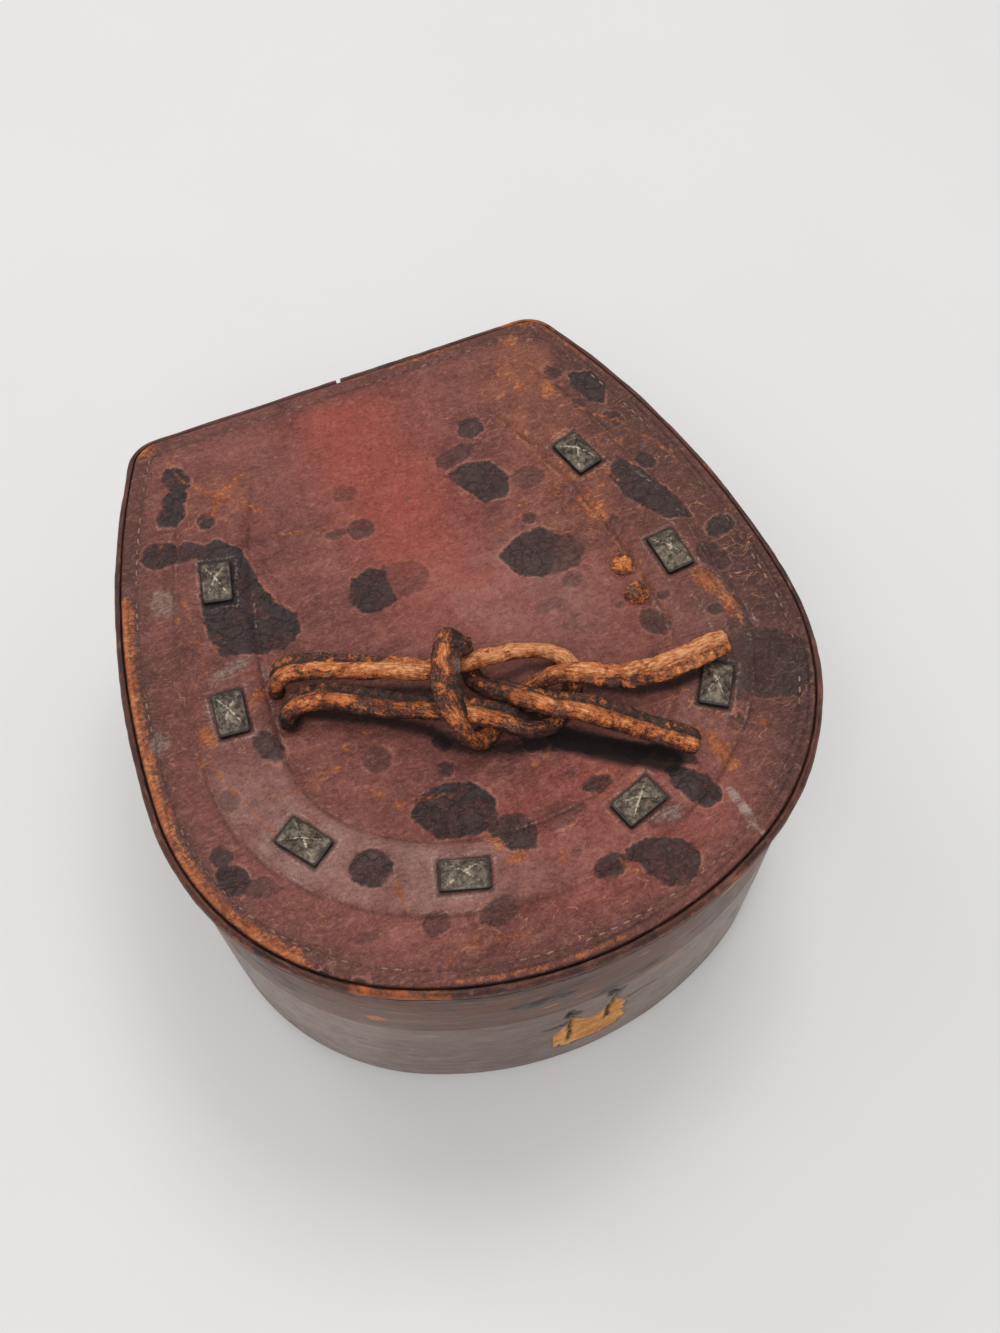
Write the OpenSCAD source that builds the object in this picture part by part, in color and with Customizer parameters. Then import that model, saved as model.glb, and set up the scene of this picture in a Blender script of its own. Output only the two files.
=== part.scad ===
// Horseshoe-shaped leather collar box with a lid that swings on a leather hinge.
// Millimetres, +Z up. The origin is under the middle of the outline, on the surface the box stands on.
// +Y is the flat heel side, where the hinge is, and -Y the round toe side.

/* [Outline] */
// Width across the rim at its widest line
rim_width = 170; // [150:1:200]
// From the widest line back to the flat heel
heel_reach = 106; // [90:1:125]
// Radius of the two long side curves
side_r = 232; // [200:1:300]
// Radius of the two shoulders, between a side and the toe
shoulder_r = 69; // [60:1:75]
// Radius of the round toe
toe_r = 105; // [95:1:125]
// Radius of the two heel corners
corner_r = 10; // [10:0.5:16]

/* [Heights] */
// Height of the base, up to the line where the lid meets it
base_h = 56; // [44:1:70]
// Height of the lid, from that line to its top leather
lid_h = 38; // [32:1:50]
// How far the locating collar stands above the base wall
collar_rise = 16; // [8:1:18]
// Height of the rounded band round the rim
band_h = 5.4; // [4.5:0.1:7]

/* [Leather and board] */
// Thickness of the covering leather
leather_t = 1.2; // [0.8:0.1:1.5]
// Thickness of the flat boards in the base and the lid
board_t = 3; // [2:0.5:4]
// Thickness of the board in the lid's skirt
skirt_board_t = 2.4; // [1.8:0.1:2.8]
// Thickness of the locating collar
collar_t = 1.6; // [1:0.1:2]
// Thickness of the cloth lining
lining_t = 0.6; // [0.4:0.1:0.9]
// Thickness of the lined cards on the floor and under the lid
card_t = 1; // [0.6:0.1:2]
// Thickness of the wadding under the lid board
wadding_t = 3.2; // [3:0.1:4]
// How far the rim stands out past the walls
rim_overhang = 1.5; // [1:0.1:2]
// Width of the leather turned under the bottom board
turn_under = 6; // [4:0.5:7]

/* [Fits] */
// Free space between the collar and the lid's lining
lid_clearance = 0.9; // [0.8:0.1:1.3]
// Gap along the line where the lid meets the base
seam_gap = 0.2; // [0.1:0.05:0.4]
// Space round a tube or prong that passes through leather and board
hole_clearance = 0.3; // [0.1:0.05:0.5]
// How far the lid swings back
lid_swing = 175; // [90:1:175]

/* [Horseshoe] */
// Half width of the raised horseshoe, outside
shoe_half_w = 69; // [62:1:72]
// From the widest line to the outside of its toe
shoe_toe = 54; // [46:1:58]
// Radius of its outer side curves
shoe_side_r = 216; // [190:1:260]
// Width of the band at the sides
shoe_web = 19; // [15:0.5:20]
// Width of the band at the toe
shoe_toe_web = 17; // [13:0.5:20]
// From the widest line to the outer corners of its heels
shoe_heel_out = 93; // [85:1:95]
// From the widest line to the inner corners of its heels
shoe_heel_in = 79; // [74:1:84]
// How far the horseshoe is raised
shoe_rise = 1.4; // [0.8:0.1:2]

/* [Studs] */
// Length of a stud
stud_l = 11.8; // [9:0.2:14]
// Width of a stud
stud_w = 7.4; // [6:0.2:10]
// Height of a stud's square edge
stud_edge = 0.8; // [0.5:0.1:1.5]
// Height of the pyramid on it
stud_peak = 2.4; // [1.5:0.1:3.5]
// Width of a stud's prong
prong_w = 1.6; // [1:0.1:2]
// Thickness of a prong
prong_t = 0.6; // [0.4:0.1:0.8]

/* [Thong] */
// Width of the rolled leather strand
thong_w = 5.8; // [5:0.1:6]
// Thickness of the strand
thong_t = 4.2; // [3.6:0.1:4.4]
// Radius of the leather washers that hold the strand's ends under the lid board
washer_r = 4.2; // [3.9:0.1:4.3]

/* [Hinge] */
// Width of the leather hinge
hinge_w = 92; // [60:1:100]
// How far the hinge reaches down the base
hinge_drop = 24; // [16:1:40]
// How far it reaches up the lid
hinge_reach = 24; // [16:1:28]

/* [Clasp scar] */
// Width of the raw patch that a torn-off clasp left on the front of the base
scar_w = 20; // [12:1:30]
// Height of its lower edge
scar_z = 14; // [8:1:20]
// Height of the patch itself
scar_h = 25; // [10:1:30]
// Depth of leather that is gone there
scar_depth = 0.4; // [0.2:0.1:0.6]

/* [Hidden] */
$fn = 48;
// How far solids overlap where they are joined, and how far a cut reaches past what it cuts
eps = 0.01;
past = 1;
// Straight pieces in each curve of the outline and the horseshoe
side_steps = 8;
corner_steps = 6;
shoulder_steps = 10;
toe_steps = 16;
shoe_side_steps = 8;
shoe_toe_steps = 24;

// The outline is six kinds of arc, each tangent to the next, worked out from the widest line
half_w = rim_width/2;
toe_cos = (half_w - shoulder_r)/(toe_r - shoulder_r);
toe_angle = acos(toe_cos);
toe_centre = (toe_r - shoulder_r)*sin(toe_angle);
toe_reach = toe_r - toe_centre;
corner_y = heel_reach - corner_r;
corner_x = half_w - side_r + sqrt(pow(side_r - corner_r, 2) - pow(corner_y, 2));
corner_angle = atan2(corner_y, corner_x - half_w + side_r);
// Moves the widest line so that the outline is centred on the origin
mid_y = (heel_reach - toe_reach)/2;
back_y = heel_reach - mid_y;
front_y = -back_y;

// Depth in from the rim at which each layer of the walls starts
wall_in = rim_overhang;
board_in = wall_in + leather_t;
skirt_lining_in = board_in + skirt_board_t;
lid_inside_in = skirt_lining_in + lining_t;
collar_in = lid_inside_in + lid_clearance;
base_lining_in = collar_in + collar_t;
inside_in = base_lining_in + lining_t;

// Heights of the layers, from the sole upwards
floor_z = 2*leather_t + board_t;
collar_top = base_h + collar_rise;
lid_z = base_h + seam_gap;
lid_top = base_h + lid_h;
lid_board_top = lid_top - leather_t;
lid_board_z = lid_board_top - board_t;
band_z = lid_top - band_h;
wadding_z = lid_board_z - wadding_t;
ceiling_card_z = wadding_z - card_t;
ceiling_z = ceiling_card_z - lining_t;
shoe_top = lid_top + shoe_rise;

// The lid's top leather stops short of the rim band, and its seam runs inside its edge
band_step = 0.6;
top_edge_in = 2.1;
edge_round = 0.5;
seam_in = 5.8;
seam_w = 0.7;
seam_depth = 0.5;
seam_stand = 0.15;
sole_in = board_in + 0.4;
joint_w = 0.8;
fit_gap = 0.1;

// The hinge turns about the outer face of its leather, halfway up the seam
axis_y = back_y;
axis_z = base_h + seam_gap/2;
hinge_t = rim_overhang;
hinge_gap = 0.5;

// The strand's ends go through the lid and are held by washers with a flattened head under them
head_r = washer_r - 0.4;
head_t = 0.9;
washer_t = 2;
strand_hole_r = thong_w/2 + hole_clearance;
head_z = lid_board_z - washer_t - head_t;
// The strand's four holes: distance to each side of the middle, and the two places along the lid
thong_hole_x = 46.5;
thong_hole_y = [3, -6];
stub_r = strand_hole_r - fit_gap;
stub_stand = 0.9;

// Routes of the two halves of the thong, tied in a reef knot: x, y and height above the lid
left_route = [[-thong_hole_x, thong_hole_y[0], -6.6], [-thong_hole_x, thong_hole_y[0], -1], [-46.3, 3.4, 3], [-43.5, 3.8, 6], [-37, 2, 7],
    [-29.5, -1.5, 7.5], [-20, -5.5, 7.5], [-13, -9, 7.5], [-6.5, -11, 7.5], [-0.5, -11.5, 7],
    [7, -11.5, 5.5], [14, -12.5, 3.8], [19.5, -15, 2.6], [22, -19, 2.4], [20.8, -24.5, 2.4],
    [16.5, -29, 2.4], [11, -31.8, 2.6], [5.5, -31.8, 4.8], [0, -28.3, 7.3], [-5.5, -24.5, 7.5],
    [-9.5, -22, 7.5], [-15, -19, 7], [-23.5, -14.5, 6.5], [-31.5, -9.5, 6.5], [-38.5, -5.8, 6.2],
    [-43.5, -5, 5], [-46.2, -5.8, 2.5], [-thong_hole_x, thong_hole_y[1], -1],
    [-thong_hole_x, thong_hole_y[1], -6.6]];
right_route = [[59.5, -29, 5], [54.5, -29, 5.2], [46.5, -29.5, 5.4], [38, -29.5, 5.8], [29, -28, 7],
    [22.5, -24.5, 7.6], [16.5, -22, 6.2], [11, -21.5, 3.4], [5.5, -23, 2.4], [-0.5, -26.4, 2.3],
    [-5.5, -29.6, 3.2], [-9, -30.4, 7.6], [-10, -27.5, 12], [-10.3, -22.5, 12.6], [-9.5, -17.5, 12.6],
    [-7.5, -12, 12.6], [-4.8, -6.4, 11.6], [-2.4, -3.6, 7.2], [-1, -4.6, 3.2], [-1, -9, 2.4],
    [-1.5, -13.5, 2.8], [-0.5, -17.5, 5], [2.5, -21.5, 7.4], [7, -25.5, 8], [12.5, -30, 7.8],
    [18.5, -33.5, 7.2], [26.5, -39.5, 6], [34, -46, 5], [38, -49, 4.4], [41, -51.5, 4]];
strand_steps = 2;
strand_sides = 10;

leather_red = "#7a4038";
leather_dark = "#4d2c26";
leather_side = "#7d6c66";
leather_tan = "#b06a38";
leather_raw = "#c08a58";
board_grey = "#b3a88f";
cloth = "#8c7358";
wadding_white = "#d8d0c0";
metal = "#5b5c52";

function arc(cx, cy, r, from, to, n) =
    [for (i = [0:n]) [cx + r*cos(from + (to - from)*i/n), cy + r*sin(from + (to - from)*i/n)]];

// Outline of the box, set in from the rim by d
function outline(d) = [for (p = concat(
    arc(half_w - side_r, 0, side_r - d, 0, corner_angle, side_steps),
    arc(corner_x, corner_y, corner_r - d, corner_angle, 90, corner_steps),
    arc(-corner_x, corner_y, corner_r - d, 90, 180 - corner_angle, corner_steps),
    arc(side_r - half_w, 0, side_r - d, 180 - corner_angle, 180, side_steps),
    arc(shoulder_r - half_w, 0, shoulder_r - d, 180, 180 + toe_angle, shoulder_steps),
    arc(0, toe_centre, toe_r - d, 180 + toe_angle, 360 - toe_angle, toe_steps),
    arc(half_w - shoulder_r, 0, shoulder_r - d, 360 - toe_angle, 360, shoulder_steps))) [p[0], p[1] - mid_y]];

module plate(d, z0, z1) {
    translate([0, 0, z0]) linear_extrude(z1 - z0) polygon(outline(d));
}

module ring(d_out, d_in, z0, z1) {
    translate([0, 0, z0]) linear_extrude(z1 - z0) difference() {
        polygon(outline(d_out));
        polygon(outline(d_in));
    }
}

// Half width of a horseshoe line at a distance y from the widest line
function shoe_x(half, toe, r, y) = y < 0 ? half*sqrt(1 - pow(y/toe, 2)) : half - r + sqrt(r*r - y*y);

// One edge of the horseshoe, from the right heel round the toe to the left heel
function shoe_edge(half, toe, r, heel) = concat(
    [for (i = [0:shoe_side_steps - 1]) let (y = heel*(1 - i/shoe_side_steps))
        [shoe_x(half, toe, r, y), y]],
    [for (i = [0:shoe_toe_steps]) let (turn = -180*i/shoe_toe_steps)
        [half*cos(turn), toe*sin(turn)]],
    [for (i = [1:shoe_side_steps]) let (y = heel*i/shoe_side_steps)
        [-shoe_x(half, toe, r, y), y]]);

function reverse(list) = [for (i = [len(list) - 1:-1:0]) list[i]];

// Outline of the horseshoe, drawn in by d all round
function shoe(d) = [for (p = concat(
    shoe_edge(shoe_half_w - d, shoe_toe - d, shoe_side_r - d, shoe_heel_out - d),
    reverse(shoe_edge(shoe_half_w - shoe_web + d, shoe_toe - shoe_toe_web + d,
                      shoe_side_r - shoe_web + d, shoe_heel_in - d)))) [p[0], p[1] - mid_y]];

module shoe_plate(d, z0, z1) {
    translate([0, 0, z0]) linear_extrude(z1 - z0) polygon(shoe(d));
}

// The studs were set by eye along the middle line of the horseshoe, each turned along it.
// Each has its side, its distance from the widest line and how far out it sits from the middle line.
studs = [[1, 55, -2.4], [-1, 54, -1.4], [1, 17.8, 0.4], [-1, 17.4, 0], [1, -21, 0], [-1, -20.5, 0],
         [1, -41.5, -2], [-1, -42.3, 0]];
mid_half = shoe_half_w - shoe_web/2;
mid_toe = shoe_toe - shoe_toe_web/2;
mid_r = shoe_side_r - shoe_web/2;
slope_step = 0.1;
function mid_x(y) = shoe_x(mid_half, mid_toe, mid_r, y);

module at_studs() {
    for (stud = studs) let (side = stud[0], y = stud[1])
        translate([side*(mid_x(y) + stud[2]), y - mid_y, shoe_top])
            rotate(atan2(2*slope_step, side*(mid_x(y + slope_step) - mid_x(y - slope_step))))
                children();
}

// Prongs reach through leather, form and board, and are bent flat under the board
prong_in = 2.3;
prong_out = stud_l/2 - prong_in;
prong_drop = shoe_top - lid_board_z;
foot_l = 2.6;

module prongs(gap) {
    for (end = [-1, 1]) scale([end, 1, 1]) {
        translate([prong_out - prong_t/2 - gap, -prong_w/2 - gap, -prong_drop - eps])
            cube([prong_t + 2*gap, prong_w + 2*gap, prong_drop + eps]);
        translate([prong_out - prong_t/2 - foot_l - gap, -prong_w/2 - gap, -prong_drop - prong_t - gap])
            cube([prong_t + foot_l + 2*gap, prong_w + 2*gap, prong_t + gap]);
    }
}

module stud_head() {
    x = stud_l/2;
    y = stud_w/2;
    translate([-x, -y, 0]) cube([stud_l, stud_w, stud_edge]);
    translate([0, 0, stud_edge - eps]) polyhedron(
        points = [[-x, -y, 0], [x, -y, 0], [x, y, 0], [-x, y, 0], [0, 0, stud_peak + eps]],
        faces = [[0, 1, 2, 3], [0, 4, 1], [1, 4, 2], [2, 4, 3], [3, 4, 0]]);
}

// A strand is a flattened tube swept along a smooth line through its route's points
function unit(v) = v/norm(v);
function curve(a, b, c, d, t) =
    (2*b + (c - a)*t + (2*a - 5*b + 4*c - d)*t*t + (3*b - a - 3*c + d)*t*t*t)/2;
function smooth(p, n) = let (k = len(p) - 1) concat(
    [for (i = [0:k - 1], j = [0:n - 1])
        curve(i == 0 ? 2*p[0] - p[1] : p[i - 1], p[i], p[i + 1],
              i == k - 1 ? 2*p[k] - p[k - 1] : p[i + 2], j/n)],
    [p[k]]);
function headings(p) = [for (i = [0:len(p) - 1]) unit(p[min(i + 1, len(p) - 1)] - p[max(i - 1, 0)])];
function carried(h, i, s) = i == len(h) ? [] :
    let (v = unit(s - (s*h[i])*h[i])) concat([v], carried(h, i + 1, v));

module strand(route, first_side) {
    line = smooth(route, strand_steps);
    heading = headings(line);
    side = carried(heading, 0, first_side);
    n = strand_sides;
    last = len(line) - 1;
    points = [for (i = [0:last], k = [0:n - 1])
        line[i] + side[i]*thong_w/2*cos(360*k/n) + cross(heading[i], side[i])*thong_t/2*sin(360*k/n)];
    walls = [for (i = [0:last - 1], k = [0:n - 1], half = [0, 1])
        let (a = i*n + k, b = i*n + (k + 1)%n) half == 0 ? [a, a + n, b] : [b, a + n, b + n]];
    ends = [[for (k = [0:n - 1]) k], [for (k = [n - 1:-1:0]) last*n + k]];
    translate([0, 0, lid_top]) polyhedron(points, concat(walls, ends), convexity = 10);
}

module thong_holes() {
    for (side = [-1, 1], y = thong_hole_y)
        translate([side*thong_hole_x, y, lid_board_z - past])
            cylinder(h = shoe_top - lid_board_z + 2*past, r = strand_hole_r);
}

module tail_heads(side) {
    for (y = thong_hole_y) translate([side*thong_hole_x, y, head_z]) cylinder(h = head_t, r = head_r);
}

// Base

module base_sole() { color(leather_dark) plate(sole_in, 0, leather_t); }

module base_board() { color(board_grey) plate(board_in, 2*leather_t, floor_z); }

module base_wall_board() { color(board_grey) ring(board_in, collar_in, floor_z, base_h - leather_t); }

// The torn clasp took a patch of leather with it and left two slits: place, lower end and height
slits = [[-5.5, 18, 26], [5.5, 27, 20]];
slit_w = 0.8;
scar_reach = 7;

module clasp_scar() {
    intersection() {
        ring(wall_in - past, wall_in + scar_depth, scar_z, scar_z + scar_h);
        translate([-scar_w/2, front_y - past, 0]) cube([scar_w, scar_reach + past, base_h]);
    }
    for (slit = slits) translate([slit[0], front_y, slit[1]]) cube([slit_w, scar_reach, slit[2]]);
}

module base_leather() {
    color(leather_side) difference() {
        union() {
            ring(wall_in, board_in + turn_under, leather_t, 2*leather_t);
            ring(wall_in, board_in, 2*leather_t, base_h - leather_t);
            ring(wall_in, collar_in, base_h - leather_t, base_h);
        }
        clasp_scar();
    }
}

module base_collar() { color(board_grey) ring(collar_in, base_lining_in, floor_z, collar_top); }

module base_wall_lining() { color(cloth) ring(base_lining_in, inside_in, floor_z + card_t, collar_top); }

module base_floor_card() { color(cloth) plate(base_lining_in, floor_z, floor_z + card_t); }

module hinge_flap(z0, z1) {
    translate([-hinge_w/2, back_y - hinge_t, z0]) cube([hinge_w, hinge_t, z1 - z0]);
}

module hinge_base_flap() { color(leather_dark) hinge_flap(axis_z - hinge_drop, axis_z - hinge_gap); }

// Lid

module lid_board() {
    color(board_grey) difference() {
        plate(board_in, lid_board_z, lid_board_top);
        at_studs() prongs(hole_clearance);
        thong_holes();
    }
}

module lid_skirt_board() { color(board_grey) ring(board_in, skirt_lining_in, lid_z + leather_t, lid_board_z); }

module lid_skirt_leather() {
    color(leather_side) {
        ring(wall_in, skirt_lining_in, lid_z, lid_z + leather_t);
        ring(wall_in, board_in, lid_z + leather_t, band_z);
    }
}

// The rounded band is butted together at the middle of the heel
module lid_rim_band() {
    color(leather_dark) difference() {
        union() {
            ring(band_step, board_in, band_z, band_z + band_step);
            ring(0, board_in, band_z + band_step, lid_board_top - band_step);
            ring(band_step/2, board_in, lid_board_top - band_step, lid_board_top);
            ring(band_step*1.5, top_edge_in - fit_gap, lid_board_top, lid_top - edge_round);
        }
        translate([0, back_y - board_in - past, band_z - past])
            cube([joint_w, board_in + 2*past, band_h + 2*past]);
    }
}

module horseshoe_form() {
    color(board_grey) difference() {
        shoe_plate(leather_t, lid_board_top, lid_board_top + shoe_rise);
        at_studs() prongs(hole_clearance);
        thong_holes();
    }
}

module lid_top_leather() {
    color(leather_red) difference() {
        union() {
            plate(top_edge_in, lid_board_top, lid_top - edge_round);
            plate(top_edge_in + edge_round, lid_top - edge_round, lid_top);
            shoe_plate(0, lid_top - eps, lid_top + shoe_rise/2);
            shoe_plate(shoe_rise/2, lid_top + shoe_rise/2, shoe_top);
        }
        shoe_plate(leather_t, lid_board_top - past, lid_board_top + shoe_rise);
        at_studs() prongs(hole_clearance);
        thong_holes();
        ring(seam_in, seam_in + seam_w, lid_top - seam_depth, lid_top + past);
    }
}

module lid_seam_thread() {
    color(leather_raw) ring(seam_in, seam_in + seam_w, lid_top - seam_depth, lid_top + seam_stand);
}

module horseshoe_studs() {
    color(metal) at_studs() {
        stud_head();
        prongs(0);
    }
}

module thong_left() {
    color(leather_tan) {
        strand(left_route, [0, 1, 0]);
        tail_heads(-1);
    }
}

module thong_right() { color(leather_tan) strand(right_route, [0, 1, 0]); }

// Torn ends of the thong stay in the two holes on the right
module thong_stubs() {
    color(leather_tan) {
        for (y = thong_hole_y)
            translate([thong_hole_x, y, head_z]) cylinder(h = lid_top + stub_stand - head_z, r = stub_r);
        tail_heads(1);
    }
}

module thong_washers() {
    color(leather_raw) for (side = [-1, 1], y = thong_hole_y)
        translate([side*thong_hole_x, y, lid_board_z - washer_t]) difference() {
            cylinder(h = washer_t, r = washer_r);
            translate([0, 0, -past]) cylinder(h = washer_t + 2*past, r = strand_hole_r);
        }
}

module lid_wadding() {
    color(wadding_white) difference() {
        plate(skirt_lining_in, wadding_z, lid_board_z);
        // The pockets start a hair above the wadding, so that their tops are open
        translate([0, 0, eps]) at_studs() prongs(hole_clearance);
        for (side = [-1, 1], y = thong_hole_y)
            translate([side*thong_hole_x, y, wadding_z - past])
                cylinder(h = wadding_t + 2*past, r = washer_r + fit_gap);
    }
}

module lid_ceiling_card() { color(board_grey) plate(skirt_lining_in, ceiling_card_z, wadding_z); }

module lid_ceiling_lining() { color(cloth) plate(skirt_lining_in, ceiling_z, ceiling_card_z); }

module lid_skirt_lining() {
    color(cloth) ring(skirt_lining_in, lid_inside_in, lid_z, ceiling_z);
}

module hinge_lid_flap() { color(leather_dark) hinge_flap(axis_z + hinge_gap, axis_z + hinge_reach); }

base_sole();
base_board();
base_wall_board();
base_leather();
base_collar();
base_wall_lining();
base_floor_card();
hinge_base_flap();
lid_board();
lid_skirt_board();
lid_skirt_leather();
lid_rim_band();
horseshoe_form();
lid_top_leather();
lid_seam_thread();
horseshoe_studs();
thong_left();
thong_right();
thong_stubs();
thong_washers();
lid_wadding();
lid_ceiling_card();
lid_ceiling_lining();
lid_skirt_lining();
hinge_lid_flap();
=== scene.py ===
# %% [markdown]
# # A leather collar box shaped like a horseshoe
# The real box is pasteboard covered in thin red-brown leather. A hinged lid with a
# raised horseshoe, eight metal studs and a knotted leather thong closes a plain base.
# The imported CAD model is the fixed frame. Each cell below adds one piece or one finish.

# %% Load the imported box
import math

import bmesh
import bpy
import numpy as np
from mathutils import Matrix, Vector


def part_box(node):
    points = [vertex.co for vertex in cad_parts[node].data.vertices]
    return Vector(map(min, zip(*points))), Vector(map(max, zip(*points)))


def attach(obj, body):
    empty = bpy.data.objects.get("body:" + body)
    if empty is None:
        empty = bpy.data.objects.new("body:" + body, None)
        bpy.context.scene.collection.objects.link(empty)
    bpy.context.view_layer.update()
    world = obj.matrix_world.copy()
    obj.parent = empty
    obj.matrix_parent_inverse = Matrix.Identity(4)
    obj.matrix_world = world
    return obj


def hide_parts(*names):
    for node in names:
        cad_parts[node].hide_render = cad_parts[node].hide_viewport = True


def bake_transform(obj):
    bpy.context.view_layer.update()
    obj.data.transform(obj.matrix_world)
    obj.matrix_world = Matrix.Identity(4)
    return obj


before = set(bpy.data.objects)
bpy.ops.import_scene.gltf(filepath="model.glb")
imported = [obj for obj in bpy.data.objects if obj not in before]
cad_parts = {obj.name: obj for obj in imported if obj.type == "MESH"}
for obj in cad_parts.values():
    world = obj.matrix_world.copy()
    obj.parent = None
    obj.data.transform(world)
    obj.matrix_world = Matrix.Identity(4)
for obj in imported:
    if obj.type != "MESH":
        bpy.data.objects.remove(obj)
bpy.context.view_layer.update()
scene = bpy.context.scene

# %% [markdown]
# ## Sizes that every piece shares
# The box is drawn from four arcs a side: a nearly straight side, a shoulder, the toe
# and a small heel corner. Each cover follows the same arcs at its own inset. Lengths are
# in millimetres until a mesh is made.

# %% The rim line
MM = 0.001
rim_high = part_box("lid_rim_band")[1]
HALF_WIDTH, HEEL_Y = rim_high.x / MM, rim_high.y / MM
WIDEST_Y, LID_Z = -16.6245, 94.0
SIDE_R, SHOULDER_R, TOE_R, CORNER_R = 232.0, 69.0, 105.0, 10.0


def arc(centre, radius, first, last, steps=80):
    """Points on an arc, each with its outward direction."""
    turn = np.radians(np.linspace(first, last, steps))
    out = np.column_stack([np.cos(turn), np.sin(turn)])
    return np.hstack([np.array(centre) + radius * out, out])


def rim_line(count):
    """Even points round the rim from the middle of the heel, outward directions and the run."""
    shoulder_x, side_x = HALF_WIDTH - SHOULDER_R, HALF_WIDTH - SIDE_R
    toe_rise = math.sqrt((TOE_R - SHOULDER_R) ** 2 - shoulder_x**2)
    toe_turn = math.degrees(math.atan2(toe_rise, shoulder_x))
    corner_y = HEEL_Y - CORNER_R
    corner_turn = math.degrees(math.asin((corner_y - WIDEST_Y) / (SIDE_R - CORNER_R)))
    corner_x = side_x + (SIDE_R - CORNER_R) * math.cos(math.radians(corner_turn))
    across = np.linspace(0, corner_x, 40)
    half = np.vstack([
        np.column_stack([across, 0 * across + HEEL_Y, 0 * across, 0 * across + 1]),
        arc((corner_x, corner_y), CORNER_R, 90, corner_turn),
        arc((side_x, WIDEST_Y), SIDE_R, corner_turn, 0),
        arc((shoulder_x, WIDEST_Y), SHOULDER_R, 0, -toe_turn),
        arc((0, WIDEST_Y + toe_rise), TOE_R, -toe_turn, -90),
    ])
    loop = np.vstack([half, (half * [-1, 1, -1, 1])[::-1]])
    loop = loop[np.append(True, np.hypot(*np.diff(loop[:, :2], axis=0).T) > 1e-6)]
    run = np.append(0, np.cumsum(np.hypot(*np.diff(loop[:, :2], axis=0).T)))
    want = np.linspace(0, run[-1], count, endpoint=False)
    line = np.column_stack([np.interp(want, run, column) for column in loop.T])
    return line[:, :2], line[:, 2:] / np.linalg.norm(line[:, 2:], axis=1)[:, None], want


def ring(inset, count):
    """The rim line drawn in by an inset."""
    at, out, _ = rim_line(count)
    return at - out * inset


print("rim length", round(rim_line(900)[2][-1], 1), "mm")

# %% [markdown]
# ## Helpers for meshes
# A cover is rows of points with quads between them. A smooth value noise bends surfaces a
# little, so that no leather is dead flat. It has no random state, so each run is the same.


# %% Mesh helpers
# The depth of a point that lies far from every mark.
OUTSIDE = -9.0


def hills(x, y, size, seed):
    """Smooth uneven ground from -1 to 1, with hills about size across."""
    u, v = np.asarray(x, float) / size, np.asarray(y, float) / size
    i, j = np.floor(u), np.floor(v)
    fu, fv = u - i, v - j
    fu, fv = fu * fu * (3 - 2 * fu), fv * fv * (3 - 2 * fv)

    def corner(a, b):
        return np.modf(np.abs(np.sin(a * 127.1 + b * 311.7 + seed * 74.7) * 43758.5))[0]

    low = corner(i, j) * (1 - fu) + corner(i + 1, j) * fu
    high = corner(i, j + 1) * (1 - fu) + corner(i + 1, j + 1) * fu
    return 2 * (low * (1 - fv) + high * fv) - 1


def ease(value, low, high):
    """0 below low, 1 above high, and a smooth step between."""
    t = np.clip((np.asarray(value, float) - low) / (high - low), 0, 1)
    return t * t * (3 - 2 * t)


def new_piece(name, points_mm, faces, closed=True):
    """A smooth mesh object from points in millimetres."""
    mesh = bpy.data.meshes.new(name)
    mesh.from_pydata((np.asarray(points_mm, float) * MM).tolist(), [], faces)
    if closed:
        shell = bmesh.new()
        shell.from_mesh(mesh)
        bmesh.ops.recalc_face_normals(shell, faces=shell.faces)
        shell.to_mesh(mesh)
        shell.free()
    mesh.shade_smooth()
    piece = bpy.data.objects.new(name, mesh)
    scene.collection.objects.link(piece)
    return piece


def grid_faces(rows, columns, first=0, around=True, closed=False):
    """Quads between rows of points. Each row may be a ring, and the last may join the first."""
    r = np.arange(rows if closed else rows - 1)
    c = np.arange(columns if around else columns - 1)
    r, c = (g.ravel() for g in np.meshgrid(r, c, indexing="ij"))
    r2, c2 = (r + 1) % rows, (c + 1) % columns
    quads = [r * columns + c, r * columns + c2, r2 * columns + c2, r2 * columns + c]
    return (np.column_stack(quads) + first).tolist()


def tube_faces(rows, columns, first=0):
    """Quads round a stack of rings, with a face over each end."""
    far = first + (rows - 1) * columns
    ends = [[first + i for i in range(columns)][::-1], [far + i for i in range(columns)]]
    return grid_faces(rows, columns, first) + ends


def disc_faces(rows, count, first=0):
    """Quads between shrinking rings, with triangles to the middle point."""
    last = first + (rows - 1) * count
    fan = [[last + i, last + (i + 1) % count, first + rows * count] for i in range(count)]
    return grid_faces(rows, count, first) + fan


def belt_faces(top, bottom):
    """Quads between two loops of the same length."""
    n = len(top)
    return [[int(top[i]), int(top[(i + 1) % n]), int(bottom[(i + 1) % n]), int(bottom[i])] for i in range(n)]


def slab(name, inset, count, rows, sides):
    """A thin pad inside an inset. sides gives the heights of its two faces."""
    outline = ring(inset, count)
    plan = np.vstack([outline * (1 - k / rows) for k in range(rows)] + [np.zeros((1, 2))])
    inward = np.append(np.repeat(np.arange(rows) / rows, count), 1.0)
    points = np.vstack([np.column_stack([plan, z]) for z in sides(plan[:, 0], plan[:, 1], inward)])
    faces = disc_faces(rows, count) + disc_faces(rows, count, len(plan))
    faces += belt_faces(range(count), range(len(plan), len(plan) + count))
    return new_piece(name, points, faces)


def note(piece, **values):
    """Keeps one number a point under each name, for the materials to read."""
    for name, value in values.items():
        layer = piece.data.attributes.new(name, "FLOAT", "POINT")
        layer.data.foreach_set("value", np.asarray(value, np.float32).ravel())


def each(table):
    """Every item of a table sorted by strength or width, with that number."""
    return [(key, item) for key, items in table.items() for item in items]


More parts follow.
